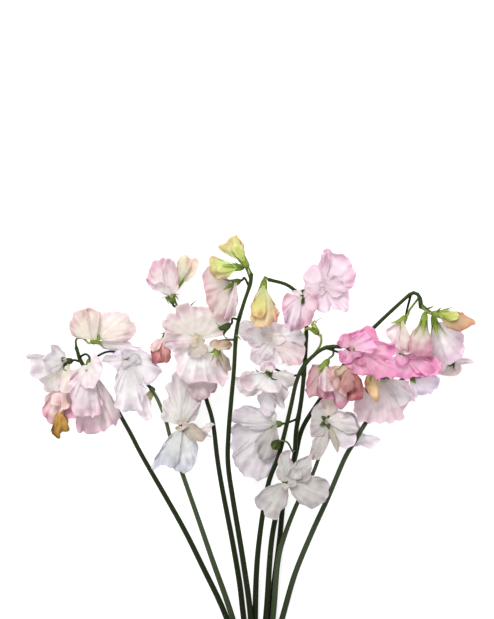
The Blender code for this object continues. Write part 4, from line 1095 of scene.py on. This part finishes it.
def petal_form(shape, angle, reach, length, phase):
    """A petal's grid across and along its midrib and up, with how far out and how rough it is."""
    rows = int(np.clip(reach.max() / ROW_LENGTH, *ROW_LIMITS))
    across = np.linspace(0, 1, len(angle))[None, :]
    along = np.linspace(0, 1, rows + 1)[:, None]

    def waves(wavelength, layer, change):
        """Noise along the rim that changes from claw to rim."""
        return noise_over(across * length / wavelength + 0 * along, change * along + 0 * across,
                          phase + layer)

    # how far each row runs outward and rises, as the petal curls and its rim rolls
    roll = waves(*ROLL_NOISE)
    slope = shape.curl * ease(along, CURL_START) * (0.8 + 0.7 * roll)
    slope = slope + RIM_ROLL * roll * ease(along, ROLL_START)
    start_row = np.zeros((1, len(angle)))
    run = np.vstack([start_row, np.cumsum(np.cos(slope[1:]) / rows, axis=0)])
    rise = np.vstack([start_row, np.cumsum(np.sin(slope[1:]) / rows, axis=0)])

    # the fan of the petal in its plane, with a ragged rim that leans to and fro
    uneven = across + 0.05 * np.sin(2.6 * pi * across + phase)
    pleat = np.cos(2 * pi * shape.pleats[0] * uneven + 1.7 * phase)
    frill = np.sin(2 * pi * shape.frill[0] * uneven + 2.3 * phase + 5 * roll) * (0.7 + 0.8 * roll)
    notch = FRILL_NOTCH * frill + RIM_NOTCH * waves(*NOTCH_NOISE)
    scale = reach * (1 + notch * along ** 2) / run.max(axis=0)
    spread = angle * (CLAW_FAN + (1 - CLAW_FAN) * ease(along, 0, FAN_END))
    lean = RUFFLE_LEAN * shape.frill[1] * along ** 3 * waves(*LEAN_NOISE)
    lean = lean * np.sin(pi * across) ** 0.5
    x = run * scale * np.sin(spread) + CLAW_HALF_WIDTH * (2 * across - 1) * (1 - along) ** 3
    x = x + lean * np.cos(spread)
    y = run * scale * np.cos(spread) - lean * np.sin(spread)

    # its height: tilt, cup, pleats, waves, crumples and sharp folds
    z = rise * scale + y * np.tan(radians(shape.tilt))
    bend = shape.cup / reach.max()
    if bend:
        z += (1 - np.sqrt(1 - np.clip(bend * x, -0.95, 0.95) ** 2)) / bend
    z += PLEAT_DEPTH * shape.pleats[1] * along ** 1.2 * pleat + shape.frill[1] * along ** 3 * frill
    z += RUFFLE * shape.frill[1] * along ** 2.5 * waves(*RUFFLE_NOISE)
    z += RIPPLE * along ** 3 * waves(*RIPPLE_NOISE)
    rough = noise_over(x / CRUMPLE_SIZE, y / CRUMPLE_SIZE, phase)
    fine = noise_over(x / FINE_CRUMPLE_SIZE, y / FINE_CRUMPLE_SIZE, phase + FINE_CRUMPLE_LAYER)
    rough = rough + FINE_CRUMPLES * fine
    z += shape.crumple * CRUMPLE_DEPTH * along ** 0.7 * rough
    crease = np.clip(1 - CREASE_SHARPNESS * np.abs(waves(*CREASE_NOISE)), 0, 1) ** 2
    z -= CREASE * crease * ease(along, 0, FAN_END)
    return x, y, z, run * scale, rough


def petal_tint(palette, rough, sunk):
    """The colours of a petal's grid: claw, body and rim in uneven patches, with painted shade in its
    hollows, painted light on its ridges and a lip painted lighter.
    """
    claw, body, edge = (linear(colour) for colour in PALETTES[palette])
    along = np.linspace(0, 1, len(rough))[:, None]
    to_body = ease(along, 0, BODY_START + BODY_PATCHES * rough)[..., None]
    rim_start = RIM_START + RIM_PATCHES * rough
    to_edge = (ease(along, rim_start, rim_start + RIM_BLEND) ** 1.4)[..., None]
    tint = claw + (body - claw) * to_body
    tint = tint + (edge - tint) * to_edge * RIM_TINT
    # painted shade in the hollows and painted light on the ridges and the lip, multiplied into the
    # colour
    light = 1 - np.clip(HOLLOW_SHADE * sunk, *PAINTED_SHADE_AND_LIGHT_LIMITS) + LIP_PAINTED_LIGHT * ease(along, LIP_START)
    return np.clip(tint * light[..., None], 0, BRIGHTEST)


def petal_sheet(shape, mouth, facing, seed):
    """One petal as grids of points, colours and grain."""
    angle, reach, length = petal_rim(shape)
    x, y, z, out, rough = petal_form(shape, angle, reach, length, seed * GOLDEN_ANGLE)
    forward, sideways = direction(shape.heading, 0), direction(shape.heading - 90, 0)
    start = mouth - facing * CLAW_DEPTH + Vector(shape.at)
    points = (np.array(start) + x[..., None] * np.array(sideways) + y[..., None] * np.array(forward)
              + z[..., None] * np.array((0, 0, 1)))
    rest = TABLE_CLEARANCE + LAYER_STEP * (seed % TABLE_LAYERS)
    points[..., 2] = rest + np.logaddexp(0, (points[..., 2] - rest) * TABLE_BEND) / TABLE_BEND
    grain = np.stack([GRAIN_FAN * angle + 0 * out, out, np.full_like(out, GRAIN_STEP * seed)],
                     axis=-1)
    return points, petal_tint(shape.colours, rough, hollows(z)), grain


def build_flower_part(node, shapes, material, seed):
    """All the petals that one CAD node stands for, as one piece."""
    calyx = node.split("_")[-1]
    _, _, mouth, facing, *_ = CALYXES[calyx]
    piece = Piece()
    for number, shape in enumerate(shapes):
        piece.add_grid(*petal_sheet(shape, Vector(mouth), direction(*facing), seed + number),
                       closed=False)
    piece.build(f"{node}_detail", node, material, PETAL_THICKNESS)


# ---- materials ------------------------------------------------------------------------------------
# noise along the grain, per millimetre: across it, along it, and from piece to piece
VEINS = (1.5, 0.045, 1)
PETAL_BANDS = (0.14, 0.08, 1)
FIBRES = (1.6, 0.05, 1)
STEM_BANDS = (0.3, 0.02, 1)
# noise in space, per metre
CLOUDS = 110.0
CELLS = 1500.0
FLECKS = 900.0
FLOOR_CLOUDS = 3.0
FLECK_COLOUR = (0.30, 0.40, 0.16, 1)


def add_node(tree, kind, inputs, **settings):
    """A shader node with its settings; an input is a value or another node's socket."""
    made = tree.nodes.new("ShaderNode" + kind)
    for name, value in settings.items():
        setattr(made, name, value)
    for name, value in inputs.items():
        if isinstance(value, bpy.types.NodeSocket):
            tree.links.new(value, made.inputs[name])
        else:
            made.inputs[name].default_value = value
    return made


def new_material(name):
    """An empty node material and its output node."""
    material = bpy.data.materials.new(name)
    material.use_nodes = True
    material.node_tree.nodes.clear()
    return material, add_node(material.node_tree, "OutputMaterial", {})


def grain_noise(tree, scale, detail):
    """Noise stretched along the grain."""
    grain = add_node(tree, "Attribute", {}, attribute_name="grain")
    stretched = add_node(tree, "Mapping", {"Vector": grain.outputs["Vector"], "Scale": scale})
    found = add_node(tree, "TexNoise", {"Vector": stretched.outputs["Vector"], "Scale": 1.0,
                                        "Detail": detail, "Roughness": 0.55})
    return found.outputs["Fac"]


def space_noise(tree, scale, detail=2.0):
    """Noise in space."""
    place = add_node(tree, "NewGeometry", {}).outputs["Position"]
    found = add_node(tree, "TexNoise", {"Vector": place, "Scale": scale, "Detail": detail})
    return found.outputs["Fac"]


def ramp(tree, value, low, high):
    """The value stretched so that low becomes 0 and high becomes 1."""
    stretched = add_node(tree, "MapRange", {"Value": value, "From Min": low, "From Max": high})
    return stretched.outputs["Result"]


def multiplied(tree, colour, factor, by):
    """The colour, multiplied by another where factor is 1."""
    mixed = add_node(tree, "MixRGB", {"Fac": factor, "Color1": colour, "Color2": (*by, 1)},
                     blend_type="MULTIPLY")
    return mixed.outputs["Color"]


def petal_material(name, vein, vein_amount, blush, see_through, roughness):
    """A thin petal: veins that fan out from its claw, soft bands, and light that comes through."""
    material, output = new_material(name)
    tree = material.node_tree
    tint = add_node(tree, "Attribute", {}, attribute_name="tint").outputs["Color"]
    veins = grain_noise(tree, VEINS, detail=4)
    bands = grain_noise(tree, PETAL_BANDS, detail=2)
    clouds = space_noise(tree, CLOUDS, detail=3.0)
    cells = space_noise(tree, CELLS)
    colour = multiplied(tree, tint, ramp(tree, bands, 0.5, 0.85), blush)
    strong = add_node(tree, "Math", {0: ramp(tree, veins, 0.45, 0.75), 1: vein_amount},
                      operation="MULTIPLY")
    colour = multiplied(tree, colour, strong.outputs["Value"], vein)
    colour = multiplied(tree, colour, ramp(tree, clouds, 0.4, 0.75), (0.97, 0.94, 0.955))
    relief = add_node(tree, "Bump", {"Strength": 0.35, "Distance": 0.0003, "Height": veins})
    relief = add_node(tree, "Bump", {"Strength": 0.15, "Distance": 0.0001, "Height": cells,
                                     "Normal": relief.outputs["Normal"]})
    surface = add_node(tree, "BsdfPrincipled", {
        "Base Color": colour, "Roughness": roughness, "Specular IOR Level": 0.22,
        "Sheen Weight": 0.12, "Sheen Roughness": 0.5, "Normal": relief.outputs["Normal"]})
    through = add_node(tree, "BsdfTranslucent", {"Color": colour,
                                                 "Normal": relief.outputs["Normal"]})
    both = add_node(tree, "MixShader", {0: see_through, 1: surface.outputs[0],
                                        2: through.outputs[0]})
    tree.links.new(both.outputs[0], output.inputs["Surface"])
    return material


def stem_material(name):
    """A fresh stem: long fibres, small pale flecks and a soft shine."""
    material, output = new_material(name)
    tree = material.node_tree
    tint = add_node(tree, "Attribute", {}, attribute_name="tint").outputs["Color"]
    fibres = grain_noise(tree, FIBRES, detail=4)
    bands = grain_noise(tree, STEM_BANDS, detail=2)
    colour = multiplied(tree, tint, ramp(tree, fibres, 0.4, 0.7), (0.74, 0.8, 0.66))
    colour = multiplied(tree, colour, ramp(tree, bands, 0.4, 0.7), (0.8, 0.86, 0.8))
    flecks = ramp(tree, space_noise(tree, FLECKS), 0.66, 1.3)
    pale = add_node(tree, "MixRGB", {"Fac": flecks, "Color1": colour, "Color2": FLECK_COLOUR})
    relief = add_node(tree, "Bump", {"Strength": 0.5, "Distance": 0.0003, "Height": fibres})
    surface = add_node(tree, "BsdfPrincipled", {
        "Base Color": pale.outputs["Color"], "Roughness": 0.5, "Specular IOR Level": 0.1,
        "Normal": relief.outputs["Normal"]})
    tree.links.new(surface.outputs[0], output.inputs["Surface"])
    return material


# slot: vein colour and amount, colour of the soft bands, light that comes through, roughness
PETAL_LOOKS = {
    "petal_white": ((0.94, 0.91, 0.93), 0.35, (0.985, 0.965, 0.97), 0.52, 0.55),
    "petal_pink": ((0.97, 0.87, 0.93), 0.40, (0.985, 0.94, 0.965), 0.52, 0.55),
    "petal_vivid": ((0.94, 0.76, 0.88), 0.45, (0.97, 0.88, 0.94), 0.46, 0.5),
    "petal_peach": ((0.97, 0.89, 0.89), 0.45, (0.99, 0.94, 0.95), 0.50, 0.55),
    "petal_cream": ((0.97, 0.87, 0.89), 0.45, (0.99, 0.95, 0.95), 0.50, 0.55),
    "petal_spent": ((0.84, 0.64, 0.66), 0.65, (0.95, 0.85, 0.86), 0.35, 0.6),
    "bud_yellow": ((0.90, 0.92, 0.72), 0.50, (0.98, 0.95, 0.88), 0.40, 0.5),
}


# ---- floor, light and camera ----------------------------------------------------------------------
FLOOR_HALF_SIZE = 4.0
FLOOR_COLOURS = ((0.95, 0.95, 0.95, 1), (0.96, 0.96, 0.96, 1))
PICTURE_HEIGHT = 0.464          # how much of the table the picture takes in, top to bottom, metres
VIEW_CENTRE = (-0.00225, 0.1076, 0.040)
CAMERA_HEIGHT = 3.0
SENSOR = 36.0
SUN_STRENGTH = 2.6
SUN_SIZE = 28                   # degrees across, for soft shadows
SUN_FROM = (115, 55)            # heading and height of the sun in the sky
SUN_COLOUR = (1.0, 0.99, 0.975)
SKY_COLOUR = (0.98, 0.99, 1.0, 1.0)
SKY_STRENGTH = 0.88
FLOOR_GLOW = 1.5                # a light table, on which the shadows stay faint


def build_floor():
    """A plain, almost white table top."""
    mesh = bpy.data.meshes.new("floor")
    half = FLOOR_HALF_SIZE
    mesh.from_pydata([(-half, -half, 0), (half, -half, 0), (half, half, 0), (-half, half, 0)], [],
                     [(0, 1, 2, 3)])
    material, output = new_material("pale_floor")
    tree = material.node_tree
    colour = add_node(tree, "MixRGB", {"Fac": space_noise(tree, FLOOR_CLOUDS),
                                       "Color1": FLOOR_COLOURS[0], "Color2": FLOOR_COLOURS[1]})
    surface = add_node(tree, "BsdfDiffuse", {"Color": colour.outputs["Color"]})
    glow = add_node(tree, "Emission", {"Color": colour.outputs["Color"], "Strength": FLOOR_GLOW})
    both = add_node(tree, "MixShader", {0: 0.5, 1: surface.outputs[0], 2: glow.outputs[0]})
    tree.links.new(both.outputs[0], output.inputs["Surface"])
    mesh.materials.append(material)
    floor = add_object("floor", mesh)


def build_light():
    """A wide soft sun over an even white sky."""
    sun = bpy.data.lights.new("sun", "SUN")
    sun.energy = SUN_STRENGTH
    sun.angle = radians(SUN_SIZE)
    sun.color = SUN_COLOUR
    lamp = add_object("sun", sun)
    lamp.rotation_mode = "QUATERNION"
    lamp.rotation_quaternion = direction(*SUN_FROM).to_track_quat("Z", "Y")
    world = bpy.data.worlds.new("sky")
    world.use_nodes = True
    sky = world.node_tree.nodes["Background"]
    sky.inputs["Color"].default_value = SKY_COLOUR
    sky.inputs["Strength"].default_value = SKY_STRENGTH
    bpy.context.scene.world = world
    bpy.context.scene.view_settings.view_transform = "Standard"


def build_camera():
    """A long lens that looks straight down on the table, with the flowers' heads at the top."""
    lens = bpy.data.cameras.new("camera")
    lens.sensor_width = SENSOR
    lens.lens = SENSOR * CAMERA_HEIGHT / PICTURE_HEIGHT
    camera = add_object("camera", lens)
    camera.location = Vector(VIEW_CENTRE) + Vector((0, 0, CAMERA_HEIGHT))
    bpy.context.scene.camera = camera


SLOTS = {part["node"]: part["material_slot"] for part in frame["record"]["subparts"]}
LOOKS = {slot: petal_material(slot, *look) for slot, look in PETAL_LOOKS.items()}
green = stem_material("stem_green")
for letter, stem_points in STEMS.items():
    build_stem(letter, stem_points, green)
next_seed = 1
for node, shapes in PETALS.items():
    build_flower_part(node, shapes, LOOKS[SLOTS[node]], next_seed)
    next_seed += len(shapes)
build_floor()
build_light()
build_camera()

bpy.context.view_layer.update()
